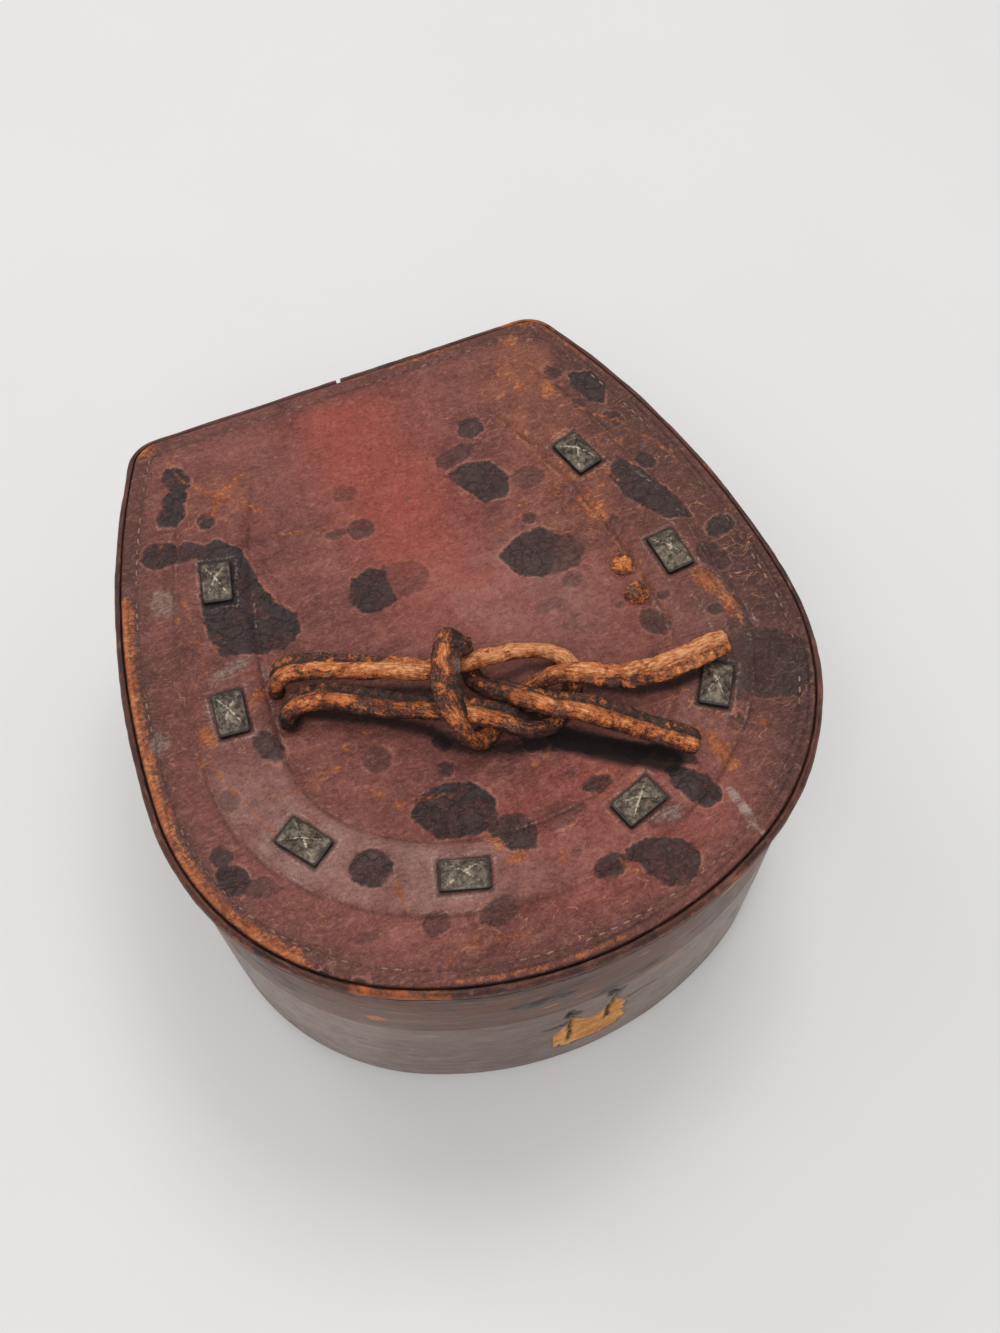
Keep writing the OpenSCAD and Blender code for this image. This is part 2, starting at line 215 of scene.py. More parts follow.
def spot_depth(x, y, spots):
    """How far in mm each point lies inside the nearest oval spot, and that spot's strength."""
    depth, strength = np.full(x.shape, OUTSIDE), np.zeros(x.shape)
    for power, (cx, cy, rx, ry, *turn) in each(spots):
        angle = math.radians(turn[0] if turn else 0)
        c, s = math.cos(angle), math.sin(angle)
        u = ((x - cx) * c + (y - cy) * s) / rx
        v = ((y - cy) * c - (x - cx) * s) / ry
        inside = (1 - np.hypot(u, v)) * min(rx, ry)
        nearer = inside > depth
        depth, strength = np.where(nearer, inside, depth), np.where(nearer, power, strength)
    return depth, strength


def line_gap(x, y, points):
    """Distance in mm from each point to a line through the given points."""
    gap = np.full(x.shape, 99.0)
    for (ax, ay), (bx, by) in zip(points, points[1:]):
        dx, dy = bx - ax, by - ay
        t = np.clip(((x - ax) * dx + (y - ay) * dy) / (dx * dx + dy * dy), 0, 1)
        gap = np.minimum(gap, np.hypot(x - ax - t * dx, y - ay - t * dy))
    return gap


def patch_depth(x, y, corners):
    """How far in mm each point lies inside a patch with these corners."""
    inside = np.zeros(x.shape, bool)
    for (ax, ay), (bx, by) in zip(corners, corners[1:] + corners[:1]):
        crosses = (ay > y) != (by > y)
        reach = ax + (y - ay) * (bx - ax) / ((by - ay) if by != ay else 1e-9)
        inside ^= crosses & (x < reach)
    gap = line_gap(x, y, corners + corners[:1])
    return np.where(inside, gap, -gap)


# %% [markdown]
# ## Wiring for materials
# A material is a chain of nodes. The small class below adds a node and joins its
# inputs in one line, so that each finish reads from top to bottom like a recipe.


# %% Material helpers
def paint(code):
    """A colour from its hex code, as the linear numbers that a shader takes."""
    parts = [int(code[i : i + 2], 16) / 255 for i in (1, 3, 5)]
    return [p / 12.92 if p <= 0.04045 else ((p + 0.055) / 1.055) ** 2.4 for p in parts] + [1.0]


class Wiring:
    """Adds nodes to one node tree and joins them."""

    def __init__(self, tree):
        self.nodes, self.links, self.skin = tree.nodes, tree.links, None

    def put(self, socket, value):
        if isinstance(value, bpy.types.NodeSocket):
            self.links.new(value, socket)
        elif value is not None:
            socket.default_value = value

    def add(self, kind, inputs=(), **settings):
        """Adds a node and gives its outputs."""
        node = self.nodes.new(kind)
        for key, value in settings.items():
            setattr(node, key, value)
        for key, value in dict(inputs).items():
            self.put(node.inputs[key], value)
        return node.outputs

    def place(self, *stretch):
        """The place on the piece in millimetres, stretched for long patterns."""
        scale = [1000 * s for s in stretch or (1, 1, 1)]
        at = self.add("ShaderNodeTexCoord")["Object"]
        return self.add("ShaderNodeMapping", {"Vector": at, "Scale": scale})["Vector"]

    def noise(self, at, size, detail=4.0, rough=0.55, twist=0.0):
        inputs = {"Vector": at, "Scale": 1 / size, "Detail": detail, "Roughness": rough, "Distortion": twist}
        return self.add("ShaderNodeTexNoise", inputs)["Fac"]

    def cells(self, at, feature):
        return self.add("ShaderNodeTexVoronoi", {"Vector": at, "Scale": 1.0}, feature=feature)["Distance"]

    def math(self, operation, a, b=None, clamp=False):
        return self.add("ShaderNodeMath", {0: a, 1: b}, operation=operation, use_clamp=clamp)[0]

    def plus(self, a, b, clamp=False):
        return self.math("ADD", a, b, clamp)

    def minus(self, a, b):
        return self.math("SUBTRACT", a, b)

    def times(self, a, b):
        return self.math("MULTIPLY", a, b)

    def crease(self, noise):
        """How far a noise is from its middle, which draws wandering lines."""
        return self.math("ABSOLUTE", self.minus(noise, 0.5))

    def vector(self, operation, a, b):
        return self.add("ShaderNodeVectorMath", {0: a, 1: b}, operation=operation)[0]

    def scaled(self, at, scale):
        return self.add("ShaderNodeVectorMath", {0: at, "Scale": scale}, operation="SCALE")[0]

    def shrunk(self, at, size, top=1.0):
        """The place divided by a size that comes in through a socket."""
        return self.scaled(at, self.math("DIVIDE", top, size))

    def step(self, value, low, high, first=0.0, last=1.0):
        """A smooth step from first to last as value goes from low to high."""
        inputs = {"Value": value, "From Min": low, "From Max": high, "To Min": first, "To Max": last}
        return self.add("ShaderNodeMapRange", inputs, interpolation_type="SMOOTHSTEP")["Result"]

    def mix(self, share, a, b):
        return self.add("ShaderNodeMix", {0: share, 6: a, 7: b}, data_type="RGBA")[2]

    def shades(self, mask, low, high, first, last):
        """One colour where the mask is low and another where it is high."""
        return self.mix(self.step(mask, low, high), paint(first), paint(last))

    def tint(self, under, code, share, *span):
        """Lays a colour over another by a share, or by a smooth step of it."""
        return self.mix(self.step(share, *span) if span else share, under, paint(code))

    def read(self, name):
        return self.add("ShaderNodeAttribute", attribute_name=name)["Fac"]

    def bend(self, at, size, amount, seed=0.0):
        """Moves the place about by a noise, so that a pattern's lines wander."""
        shifted = self.vector("ADD", at, (seed, seed, seed))
        inputs = {"Vector": shifted, "Scale": 1 / size, "Detail": 3.0}
        wander = self.add("ShaderNodeTexNoise", inputs)["Color"]
        centred = self.vector("SUBTRACT", wander, (0.5, 0.5, 0.5))
        return self.vector("ADD", at, self.scaled(centred, amount))

    def use(self, tree, **inputs):
        """A copy of a node group with its own values."""
        named = {key.replace("_", " "): value for key, value in inputs.items()}
        return self.add("ShaderNodeGroup", named, node_tree=tree)

    def grain(self, at, pore, wrinkle, wrinkles):
        inputs = dict(At=at, Pore_size=pore, Wrinkle_size=wrinkle, Wrinkles=wrinkles)
        return self.use(leather_grain, **inputs)["Height"]

    def ragged(self, field, at, size, wander, softness):
        """The mask and the rim of a mark whose depth the mesh carries."""
        inputs = dict(At=at, Size=size, Wander=wander, Softness=softness)
        return self.use(ragged_edge, Depth=self.read(field), **inputs)

    def finish(self, colour, rough, height, strength, depth):
        """Joins a colour, a roughness and a bump of some depth in mm to the shader."""
        self.put(self.skin["Base Color"], colour)
        self.put(self.skin["Roughness"], rough)
        inputs = {"Height": height, "Strength": strength, "Distance": depth * MM}
        self.put(self.skin["Normal"], self.add("ShaderNodeBump", inputs)["Normal"])


def new_material(name, **settings):
    """A material with a Principled shader, its plain values set on the shader's own sockets."""
    material = bpy.data.materials.new(name)
    material.use_nodes = True
    wiring = Wiring(material.node_tree)
    wiring.skin = material.node_tree.nodes["Principled BSDF"].inputs
    for key, value in settings.items():
        wiring.skin[key.replace("_", " ")].default_value = value
    return material, wiring


def new_group(name, inputs, outputs):
    """A node group. An input without a start value is a place, and the others are numbers."""
    tree = bpy.data.node_groups.new(name, "ShaderNodeTree")
    for label, start in inputs.items():
        kind = "NodeSocketVector" if start is None else "NodeSocketFloat"
        socket = tree.interface.new_socket(name=label, in_out="INPUT", socket_type=kind)
        if start is not None:
            socket.default_value = start
    for label in outputs:
        tree.interface.new_socket(name=label, in_out="OUTPUT", socket_type="NodeSocketFloat")
    come, go = (tree.nodes.new(kind) for kind in ("NodeGroupInput", "NodeGroupOutput"))
    return tree, Wiring(tree), come.outputs, go.inputs


def dress(piece, material):
    """Gives a piece one material."""
    piece.data.materials.clear()
    piece.data.materials.append(material)


def settle(piece, material, slot, body, *nodes):
    """Dresses a piece, rides it on its body and says which CAD nodes it replaces."""
    dress(piece, material)
    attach(piece, body)
    if nodes:
        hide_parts(*nodes)


# %% [markdown]
# ## Effects that several finishes share
# Old leather has a pebbled grain, stains and scuffs with ragged edges, and fine cracks
# in its finish. Cloth has its weave. Each effect is a node group, made once and placed
# in each material with its own values.

# %% Node groups
inputs = {"At": None, "Pore size": 0.9, "Wrinkle size": 7.0, "Wrinkles": 0.5}
leather_grain, w, come, go = new_group("Leather grain", inputs, ["Height"])
wandering = w.bend(come["At"], 3.0, 1.6)
pores = w.cells(w.shrunk(wandering, come["Pore size"]), "F1")
folds = w.noise(w.shrunk(wandering, come["Wrinkle size"]), 1.0, 6.0, 0.62, 0.8)
folds = w.times(w.step(w.crease(folds), 0.0, 0.09), come["Wrinkles"])
w.put(go["Height"], w.plus(w.times(pores, -0.45), folds))

inputs = {"Depth": 0.0, "At": None, "Size": 3.0, "Wander": 2.0, "Softness": 0.4}
ragged_edge, w, come, go = new_group("Ragged edge", inputs, ["Mask", "Rim"])
bite = w.noise(w.shrunk(come["At"], come["Size"]), 1.0, 6.0, 0.6)
reach = w.plus(come["Depth"], w.times(w.minus(bite, 0.5), come["Wander"]))
w.put(go["Mask"], w.step(reach, w.times(come["Softness"], -1.0), come["Softness"]))
w.put(go["Rim"], w.step(w.math("ABSOLUTE", w.plus(reach, 0.35)), 0.0, 0.5, 1.0, 0.0))

inputs = {"At": None, "Size": 9.0, "Width": 0.03, "Amount": 0.5}
fine_cracks, w, come, go = new_group("Fine cracks", inputs, ["Mask"])
crack_at = w.shrunk(w.bend(come["At"], 6.0, 6.0, 3.7), come["Size"])
lines = w.step(w.cells(crack_at, "DISTANCE_TO_EDGE"), 0.0, come["Width"], 1.0, 0.0)
gate = w.plus(w.noise(come["At"], 14.0, 4.0, 0.7), come["Amount"])
w.put(go["Mask"], w.times(lines, w.step(gate, 0.98, 1.12)))

woven_cloth, w, come, go = new_group("Woven cloth", {"At": None, "Thread": 0.5}, ["Height", "Tone"])
xyz = w.add("ShaderNodeSeparateXYZ", {0: w.shrunk(come["At"], come["Thread"], math.pi)})
waves = [w.math("SINE", w.plus(xyz[i], xyz[2])) for i in (0, 1)]
w.put(go["Height"], w.times(*waves))
w.put(go["Tone"], w.noise(come["At"], 2.5, 5.0, 0.6))
print("groups", [g.name for g in bpy.data.node_groups])

# %% [markdown]
# ## The leather of the lid
# The lid was dyed a warm red brown. It has faded towards the middle, gone dark where it
# was wetted, and its finish has cracked and rubbed off to orange. The mesh carries
# fields for those marks, and each field becomes a mark with a ragged edge.

# %% Top leather
top_leather, w = new_material("top_leather", IOR=1.36)
at = w.place()
cloudy = w.noise(at, 38.0, 4.0, 0.6, 0.6)
mottled = w.noise(at, 6.5, 7.0, 0.68)
streaky = w.noise(w.bend(w.place(0.35, 1.0, 1.0), 12.0, 4.0), 2.6, 7.0, 0.72)
fine = w.noise(w.bend(w.place(0.6, 1.0, 1.0), 5.0, 2.0), 0.75, 5.0, 0.75)
colour = w.shades(cloudy, 0.36, 0.66, "#5f302a", "#7b443c")
colour = w.tint(colour, "#92564a", mottled, 0.38, 0.7, 0.0, 0.5)
colour = w.tint(colour, "#a3695b", streaky, 0.5, 0.74, 0.0, 0.55)
colour = w.tint(colour, "#381f1d", streaky, 0.3, 0.46, 0.5, 0.0)
for field, code, mask, *span in (
    ("glow", "#a04436", cloudy, 0.25, 0.6, 0.4, 0.75),
    ("shade", "#3f2725", mottled, 0.3, 0.62, 0.5, 0.95),
    ("ochre", "#8d5138", mottled, 0.4, 0.62, 0.1, 1.0),
    ("haze", "#9c8078", mottled, 0.3, 0.7, 0.2, 0.75),
):
    colour = w.tint(colour, code, w.times(w.read(field), w.step(mask, *span)))
colour = w.tint(colour, "#a87a6c", fine, 0.5, 0.72, 0.0, 0.4)
colour = w.tint(colour, "#2c1a18", fine, 0.3, 0.5, 0.5, 0.0)

crazed_at = w.bend(w.place(0.45, 1.0, 1.0), 5.0, 4.0)
crazing = w.use(fine_cracks, At=crazed_at, Size=3.4, Width=0.031, Amount=w.read("crazed"))["Mask"]
colour = w.tint(colour, "#bd8062", w.times(crazing, w.step(mottled, 0.35, 0.65, 0.3, 0.8)))

# Stains, among them one patch under the right strand that is partly its painted shadow.
stain, power = w.ragged("stain", at, 1.9, 2.6, 0.5), w.read("stain_power")
dark = w.shades(mottled, 0.35, 0.65, "#1c1515", "#3a2e2c")
dark = w.tint(dark, "#554744", fine, 0.46, 0.7, 0.0, 0.45)
puckers = w.crease(w.noise(w.bend(w.place(0.8, 1.0, 1.0), 4.0, 3.0), 4.2, 3.0, 0.5))
puckers = w.step(puckers, 0.0, 0.035, 1.0, 0.0)
dark = w.tint(dark, "#0c0808", w.times(puckers, 0.4))
stained = w.times(stain["Mask"], w.times(power, w.step(mottled, 0.3, 0.55, 0.62, 1.0)))
colour = w.mix(stained, colour, dark)
rim = w.times(stain["Rim"], w.times(power, w.step(mottled, 0.42, 0.6)))
colour = w.tint(colour, "#ab7362", w.times(rim, 0.55))

worn = w.ragged("wear", w.bend(at, 1.2, 1.2), 2.2, 3.4, 0.55)["Mask"]
broken = w.step(w.noise(at, 1.1, 6.0, 0.75), 0.38, 0.56, 0.1, 1.0)
worn = w.times(worn, w.math("MAXIMUM", broken, w.step(w.read("wear"), 0.9, 1.6)))
orange = w.shades(mottled, 0.35, 0.7, "#a85b38", "#d2885a")
colour = w.mix(worn, colour, w.tint(orange, "#6e3a20", fine, 0.42, 0.62, 0.6, 0.0))

mould = w.ragged("mould", at, 1.4, 3.6, 0.9)["Mask"]
colour = w.tint(colour, "#8d857a", w.times(mould, w.step(fine, 0.4, 0.65, 0.1, 0.65)))
# Pale scuffs. This field also carries the painted highlight along the horseshoe's edges.
scuff_and_highlight = w.ragged("scuff_and_highlight", at, 0.8, 2.6, 0.35)["Mask"]
colour = w.tint(colour, "#a89a92", w.times(scuff_and_highlight, w.step(streaky, 0.4, 0.6, 0.1, 0.6)))
colour = w.tint(colour, "#21130f", w.read("seam_dirt"))
# Near black under the thong's strands: soot together with the strands' painted shadow, with a rougher
# finish.
colour = w.tint(colour, "#0d0706", w.read("soot_and_shadow"))
rough = w.plus(w.step(mottled, 0.3, 0.7, 0.36, 0.5), w.times(stained, 0.14))
rough = w.plus(w.plus(rough, w.times(worn, 0.3)), w.times(w.read("soot_and_shadow"), 0.4), clamp=True)
height = w.plus(w.grain(at, 0.7, 3.4, 0.5), w.times(crazing, -0.8))
height = w.minus(height, w.times(worn, w.times(w.noise(at, 0.9, 3.0, 0.6), 1.4)))
height = w.minus(height, w.times(stained, w.noise(at, 1.2, 5.0, 0.7)))
height = w.minus(height, w.times(stained, w.times(puckers, 1.3)))
w.finish(colour, rough, w.plus(height, w.times(fine, 0.9)), 0.75, 0.38)

# %% [markdown]
# ## The leather of the walls
# The walls are worn grey-brown and shiny from handling, with long scratches that run
# round the box, a raw tan patch where a clasp was torn off, and a darker foot.

# %% Side leather
side_leather, w = new_material("side_leather", IOR=1.25, Coat_Roughness=0.38)
at = w.place()
mottled = w.noise(at, 5.0, 7.0, 0.66)
streaks = w.noise(w.bend(w.place(0.1, 0.1, 1.0), 9.0, 1.4), 1.7, 6.0, 0.7)
colour = w.shades(w.noise(at, 45.0, 4.0, 0.6, 0.4), 0.35, 0.65, "#665048", "#806c63")
colour = w.tint(colour, "#a08c82", streaks, 0.5, 0.7, 0.0, 0.5)
colour = w.tint(colour, "#3f2f2a", streaks, 0.3, 0.46, 0.5, 0.0)
colour = w.tint(colour, "#6a453b", mottled, 0.54, 0.72, 0.0, 0.5)
warm = w.shades(mottled, 0.4, 0.6, "#482a1f", "#694738")
warm = w.tint(warm, "#927464", streaks, 0.52, 0.7, 0.0, 0.5)
warm = w.tint(warm, "#281914", streaks, 0.32, 0.46, 0.7, 0.0)
colour = w.mix(w.read("warmth"), colour, warm)
stained = w.ragged("stain", w.place(0.4, 0.4, 1.0), 2.0, 2.6, 0.5)["Mask"]
stained = w.times(stained, w.read("stain_power"))
colour = w.mix(stained, colour, w.shades(streaks, 0.4, 0.6, "#1a1310", "#33261f"))
worn = w.ragged("wear", w.place(0.5, 0.5, 1.0), 1.8, 3.0, 0.3)["Mask"]
colour = w.mix(w.times(worn, 0.9), colour, w.shades(mottled, 0.35, 0.7, "#9a4f2a", "#c47a42"))
raw = w.ragged("raw", at, 3.0, 5.0, 0.3)
raw_colour = w.shades(mottled, 0.35, 0.65, "#b3743b", "#d6a062")
raw_colour = w.tint(raw_colour, "#74431f", w.noise(at, 2.0, 5.0, 0.7), 0.55, 0.68, 0.0, 0.7)
colour = w.mix(raw["Mask"], colour, raw_colour)
colour = w.tint(colour, "#4f2d1c", w.times(raw["Rim"], 0.7))
colour = w.tint(colour, "#1c0f0b", w.ragged("slit", at, 1.2, 2.6, 0.8)["Mask"])
dirt = w.times(w.read("seam_dirt"), w.step(streaks, 0.36, 0.62, 1.0, 0.55))
colour = w.tint(colour, "#221815", dirt)
dull = w.math("MAXIMUM", w.math("MAXIMUM", stained, dirt), w.math("MAXIMUM", raw["Mask"], worn))
gloss = w.times(w.minus(1.0, dull), w.step(w.read("warmth"), 0.1, 0.6, 0.32, 0.0))
w.put(w.skin["Coat Weight"], w.times(gloss, w.step(mottled, 0.3, 0.6, 0.7, 1.0)))
rough = w.plus(w.step(mottled, 0.3, 0.7, 0.32, 0.5), w.times(raw["Mask"], 0.35), clamp=True)
height = w.plus(w.grain(at, 0.8, 12.0, 0.2), w.times(streaks, 0.6))
height = w.minus(height, w.times(raw["Mask"], w.noise(at, 0.8, 3.0, 0.6)))
w.finish(colour, rough, height, 0.4, 0.2)

# %% [markdown]
# ## The rolled rim and the hinge strip
# The rim is a thick strip of darker leather. Hands and shelves have rubbed its crown to
# orange, so its wear follows a field that is deepest on the crown.

# %% Edge leather
edge_leather, w = new_material("edge_leather", IOR=1.36)
at = w.place()
mottled = w.noise(at, 3.0, 7.0, 0.7)
along = w.add("ShaderNodeCombineXYZ", {0: w.times(w.read("run"), 0.16), 1: w.read("level")})[0]
streaks = w.noise(w.bend(along, 5.0, 1.2), 1.0, 5.0, 0.72)
colour = w.shades(w.noise(at, 22.0, 4.0, 0.65, 0.5), 0.35, 0.65, "#391d17", "#562e23")
colour = w.tint(colour, "#6d3f30", mottled, 0.5, 0.75, 0.0, 0.6)
colour = w.tint(colour, "#875a48", streaks, 0.52, 0.7, 0.0, 0.7)
colour = w.tint(colour, "#160d0a", streaks, 0.32, 0.5, 0.8, 0.0)
orange = w.shades(mottled, 0.35, 0.7, "#843d1e", "#b8652f")
orange = w.tint(orange, "#3d1f13", streaks, 0.36, 0.54, 0.85, 0.0)
worn = w.ragged("wear", at, 2.4, 3.4, 0.5)["Mask"]
worn = w.times(worn, w.step(w.noise(at, 0.7, 3.0, 0.6), 0.3, 0.6, 0.6, 1.0))
colour = w.mix(worn, colour, orange)
dirt = w.times(w.read("seam_dirt"), w.step(streaks, 0.35, 0.65, 1.0, 0.55))
height = w.plus(w.grain(at, 0.7, 4.0, 0.4), w.times(streaks, 1.2))
rough = w.step(mottled, 0.3, 0.7, 0.38, 0.58)
w.finish(w.tint(colour, "#150d0b", dirt), rough, height, 0.5, 0.25)

# %% [markdown]
# ## The thong
# The handle is stitched rolled leather, dry and cracked. Its crowns are bare orange-tan.
# Its upper side is painted lighter and its underside near black, a painted highlight and
# shade, and its hollows and stitch holes are painted near black, so the mesh notes how
# high each point stands on the section and where each hole is.

# %% Thong leather
thong_leather, w = new_material("thong_leather", IOR=1.4)
at = w.place()
along = w.add("ShaderNodeCombineXYZ", {0: w.times(w.read("run"), 0.3), 1: w.read("turn")})[0]
fibre = w.noise(w.bend(along, 2.0, 1.0), 0.7, 6.0, 0.74)
patches = w.noise(at, 4.2, 6.0, 0.7, 0.6)
speckle = w.noise(at, 0.5, 4.0, 0.65)
# crown runs from the underside of the roll to its top, so the black, brown, orange and tan bands below are
# partly painted shade and highlight and partly the leather's own wear.
crown = w.read("crown")
for layer, share in ((patches, 1.3), (fibre, 1.7), (speckle, 0.8)):
    crown = w.plus(crown, w.times(w.minus(layer, 0.5), share))
tan = w.shades(fibre, 0.35, 0.68, "#b4693a", "#e9aa76")
orange = w.shades(patches, 0.35, 0.65, "#8c421d", "#bf6930")
brown = w.shades(speckle, 0.35, 0.65, "#3a2016", "#623422")
black = w.shades(fibre, 0.4, 0.68, "#170c08", "#422a1e")
colour = w.mix(w.step(crown, 0.56, 0.95), orange, tan)
colour = w.mix(w.step(crown, 0.3, 0.54), brown, colour)
colour = w.mix(w.step(crown, 0.04, 0.28), black, colour)
greyed = w.step(w.noise(at, 7.0, 5.0, 0.7), 0.55, 0.66, 0.0, 0.6)
greyed = w.times(greyed, w.step(crown, 0.2, 0.6, 1.0, 0.3))
colour = w.mix(greyed, colour, w.shades(speckle, 0.35, 0.65, "#4a3d31", "#807261"))
colour = w.tint(colour, "#120a07", w.read("hole"))
height = w.plus(w.plus(w.times(fibre, 1.2), w.times(speckle, 0.5)), patches)
w.finish(colour, w.step(fibre, 0.3, 0.7, 0.5, 0.72), height, 0.9, 0.5)

# %% [markdown]
# ## The studs
# The studs are cast white metal gone dull and dark, brighter on the ridges that get
# touched. The mesh notes how high each point stands, and noise breaks the shine up.

# %% Stud metal
stud_metal, w = new_material("stud_metal")
at = w.place()
pitted = w.noise(at, 1.5, 6.0, 0.75)
ridge = w.plus(w.read("crown"), w.times(w.minus(pitted, 0.5), 1.7))
colour = w.shades(pitted, 0.4, 0.6, "#241d18", "#6b5c4d")
tarnish = w.step(w.noise(at, 5.0, 4.0, 0.6), 0.44, 0.58, 0.0, 0.6)
colour = w.mix(tarnish, colour, w.shades(pitted, 0.4, 0.64, "#4f453b", "#948877"))
colour = w.tint(colour, "#c2b6a3", ridge, 0.6, 1.0, 0.0, 0.9)
colour = w.tint(colour, "#15110e", w.read("crown"), -0.3, 0.05, 0.9, 0.0)
w.put(w.skin["Metallic"], w.step(ridge, 0.1, 0.9, 0.3, 0.75))
height = w.plus(pitted, w.times(w.noise(at, 0.35, 3.0, 0.6), 0.3))
w.finish(colour, w.step(pitted, 0.3, 0.7, 0.38, 0.62), height, 0.6, 0.3)

# %% [markdown]
# ## Card, cloth, wadding, sole and thread
# These show when the box is open or turned over. Card is a felted grey-buff sheet with
# flecks, the lining is plain cotton, the wadding is loose fluff, the sole is firm
# unpolished leather and the thread is waxed linen.

# %% Plain finishes
pasteboard, w = new_material("pasteboard", IOR=1.4)
flecks = w.noise(w.place(0.3, 0.3, 1.0), 0.9, 5.0, 0.7)
colour = w.shades(w.noise(w.place(), 20.0, 4.0, 0.6), 0.35, 0.65, "#8d7a62", "#a2907a")
colour = w.tint(colour, "#5f4f3e", flecks, 0.58, 0.72, 0.0, 0.5)
w.finish(colour, w.step(flecks, 0.3, 0.7, 0.75, 0.92), flecks, 0.4, 0.15)

lining_cloth, w = new_material("lining_cloth", IOR=1.4, Sheen_Weight=0.15)
at = w.place()
weave = w.use(woven_cloth, At=at, Thread=0.55)
colour = w.shades(w.noise(at, 30.0, 4.0, 0.6), 0.35, 0.68, "#8c7f66", "#a89a7e")
colour = w.tint(colour, "#5d523f", weave["Height"], -0.6, 0.8, 0.25, 0.0)
colour = w.tint(colour, "#6e5a40", weave["Tone"], 0.6, 0.75, 0.0, 0.45)
w.finish(colour, w.step(weave["Tone"], 0.3, 0.7, 0.8, 0.95), weave["Height"], 0.5, 0.12)

wadding_fluff, w = new_material("wadding_fluff", IOR=1.3, Sheen_Weight=0.3)
tufts = w.noise(w.place(), 3.0, 7.0, 0.75, 1.2)
colour = w.shades(tufts, 0.35, 0.65, "#b9b09c", "#d8d1bf")
w.finish(colour, w.step(tufts, 0.3, 0.7, 0.85, 0.98), tufts, 0.8, 0.6)

sole_leather, w = new_material("sole_leather", IOR=1.45)
at = w.place()
clouds = w.noise(at, 30.0, 5.0, 0.6, 0.5)
colour = w.shades(clouds, 0.35, 0.65, "#4c2f26", "#6a4334")
scratch = w.noise(w.place(0.12, 1.0, 1.0), 1.2, 6.0, 0.7)
colour = w.tint(colour, "#9a6a4a", scratch, 0.56, 0.72, 0.0, 0.55)
colour = w.tint(colour, "#2b1d19", w.noise(at, 8.0, 5.0, 0.7), 0.58, 0.7, 0.0, 0.7)
w.finish(colour, w.step(clouds, 0.3, 0.7, 0.5, 0.68), w.grain(at, 0.9, 14.0, 0.25), 0.5, 0.2)

linen_thread, w = new_material("linen_thread", IOR=1.4)
twist = w.noise(w.place(), 0.5, 3.0, 0.6)
colour = w.shades(w.noise(w.place(), 16.0, 4.0, 0.7), 0.42, 0.6, "#5b4238", "#9c8570")
colour = w.tint(colour, "#3b241b", twist, 0.4, 0.7, 0.5, 0.0)
w.finish(colour, w.step(twist, 0.3, 0.7, 0.6, 0.8), twist, 0.5, 0.15)

# %% [markdown]
# ## The camera, the light and the table
# The photograph was taken from above and a little left, close to the box. A large soft
# lamp stands behind and to the left, which lays the thong's shadow towards the viewer.

# %% Camera, lamps and table
TARGET, DISTANCE = Vector((0.0244, 0.033375, 0.0)), 0.4513
AZIMUTH, ELEVATION, ROLL = (math.radians(angle) for angle in (-21.62, 62.57, -1.14))
low_sin, low_cos = math.sin(ELEVATION), math.cos(ELEVATION)
back = Vector((math.sin(AZIMUTH) * low_cos, -math.cos(AZIMUTH) * low_cos, low_sin))
level = (-back).cross(Vector((0, 0, 1))).normalized()
rise = level.cross(-back)
right = level * math.cos(ROLL) + rise * math.sin(ROLL)
up = rise * math.cos(ROLL) - level * math.sin(ROLL)
lens = bpy.data.cameras.new("photo_camera")
lens.sensor_width, lens.lens = 36.0, 37.81
lens.clip_start, lens.clip_end = 0.01, 20.0
camera = bpy.data.objects.new("photo_camera", lens)
facing = Matrix((right, up, back)).transposed().to_4x4()
camera.matrix_world = Matrix.Translation(TARGET + back * DISTANCE) @ facing
scene.collection.objects.link(camera)
scene.camera = camera
scene.view_settings.view_transform = "Standard"


def soft_lamp(name, place, size, power, colour):
    """A square lamp that points at the box."""
    data = bpy.data.lights.new(name, "AREA")
    data.size, data.energy, data.color = size, power, colour
    lamp = bpy.data.objects.new(name, data)
    lamp.location = place
    lamp.rotation_euler = (Vector((0, 0, 0.05)) - Vector(place)).to_track_quat("-Z", "Y").to_euler()
    scene.collection.objects.link(lamp)


soft_lamp("window_lamp", (-0.55, 1.15, 0.95), 0.6, 3.2, (1.0, 0.99, 0.97))
soft_lamp("ceiling_lamp", (0.3, 0.36, 1.25), 0.45, 5.0, (1.0, 0.98, 0.96))
soft_lamp("fill_lamp", (-0.45, -0.7, 1.5), 0.9, 10.0, (1.0, 0.99, 0.98))
scene.world = bpy.data.worlds.new("room")
scene.world.use_nodes = True
room = scene.world.node_tree.nodes["Background"].inputs
room["Color"].default_value = (1.0, 0.99, 0.98, 1.0)
room["Strength"].default_value = 0.57

TABLE_REACH, TABLE_POINTS = 3000, 13
side = np.linspace(-TABLE_REACH, TABLE_REACH, TABLE_POINTS)
table_x, table_y = (g.ravel() for g in np.meshgrid(side, side, indexing="ij"))
points = np.column_stack([table_x, table_y, 0 * table_x - 0.3])
faces = grid_faces(TABLE_POINTS, TABLE_POINTS, around=False)
table = new_piece("table", points, faces, closed=False)
white_table, w = new_material("white_table")
dust = w.noise(w.place(), 90.0, 4.0, 0.5)
w.put(w.skin["Base Color"], w.mix(dust, paint("#dadada"), paint("#d6d6d5")))
w.put(w.skin["Roughness"], w.step(dust, 0.2, 0.8, 0.7, 0.8))
dress(table, white_table)

# %% [markdown]
# ## The top of the lid
# One sheet of leather is drawn over the board and the raised horseshoe of card, so the
# top is one skin that rises and falls. All places are in millimetres from the widest
# line of the lid. The studs stand near the horseshoe's middle line, each at its own
# height on the lid and off the line by a little, as in the photograph.

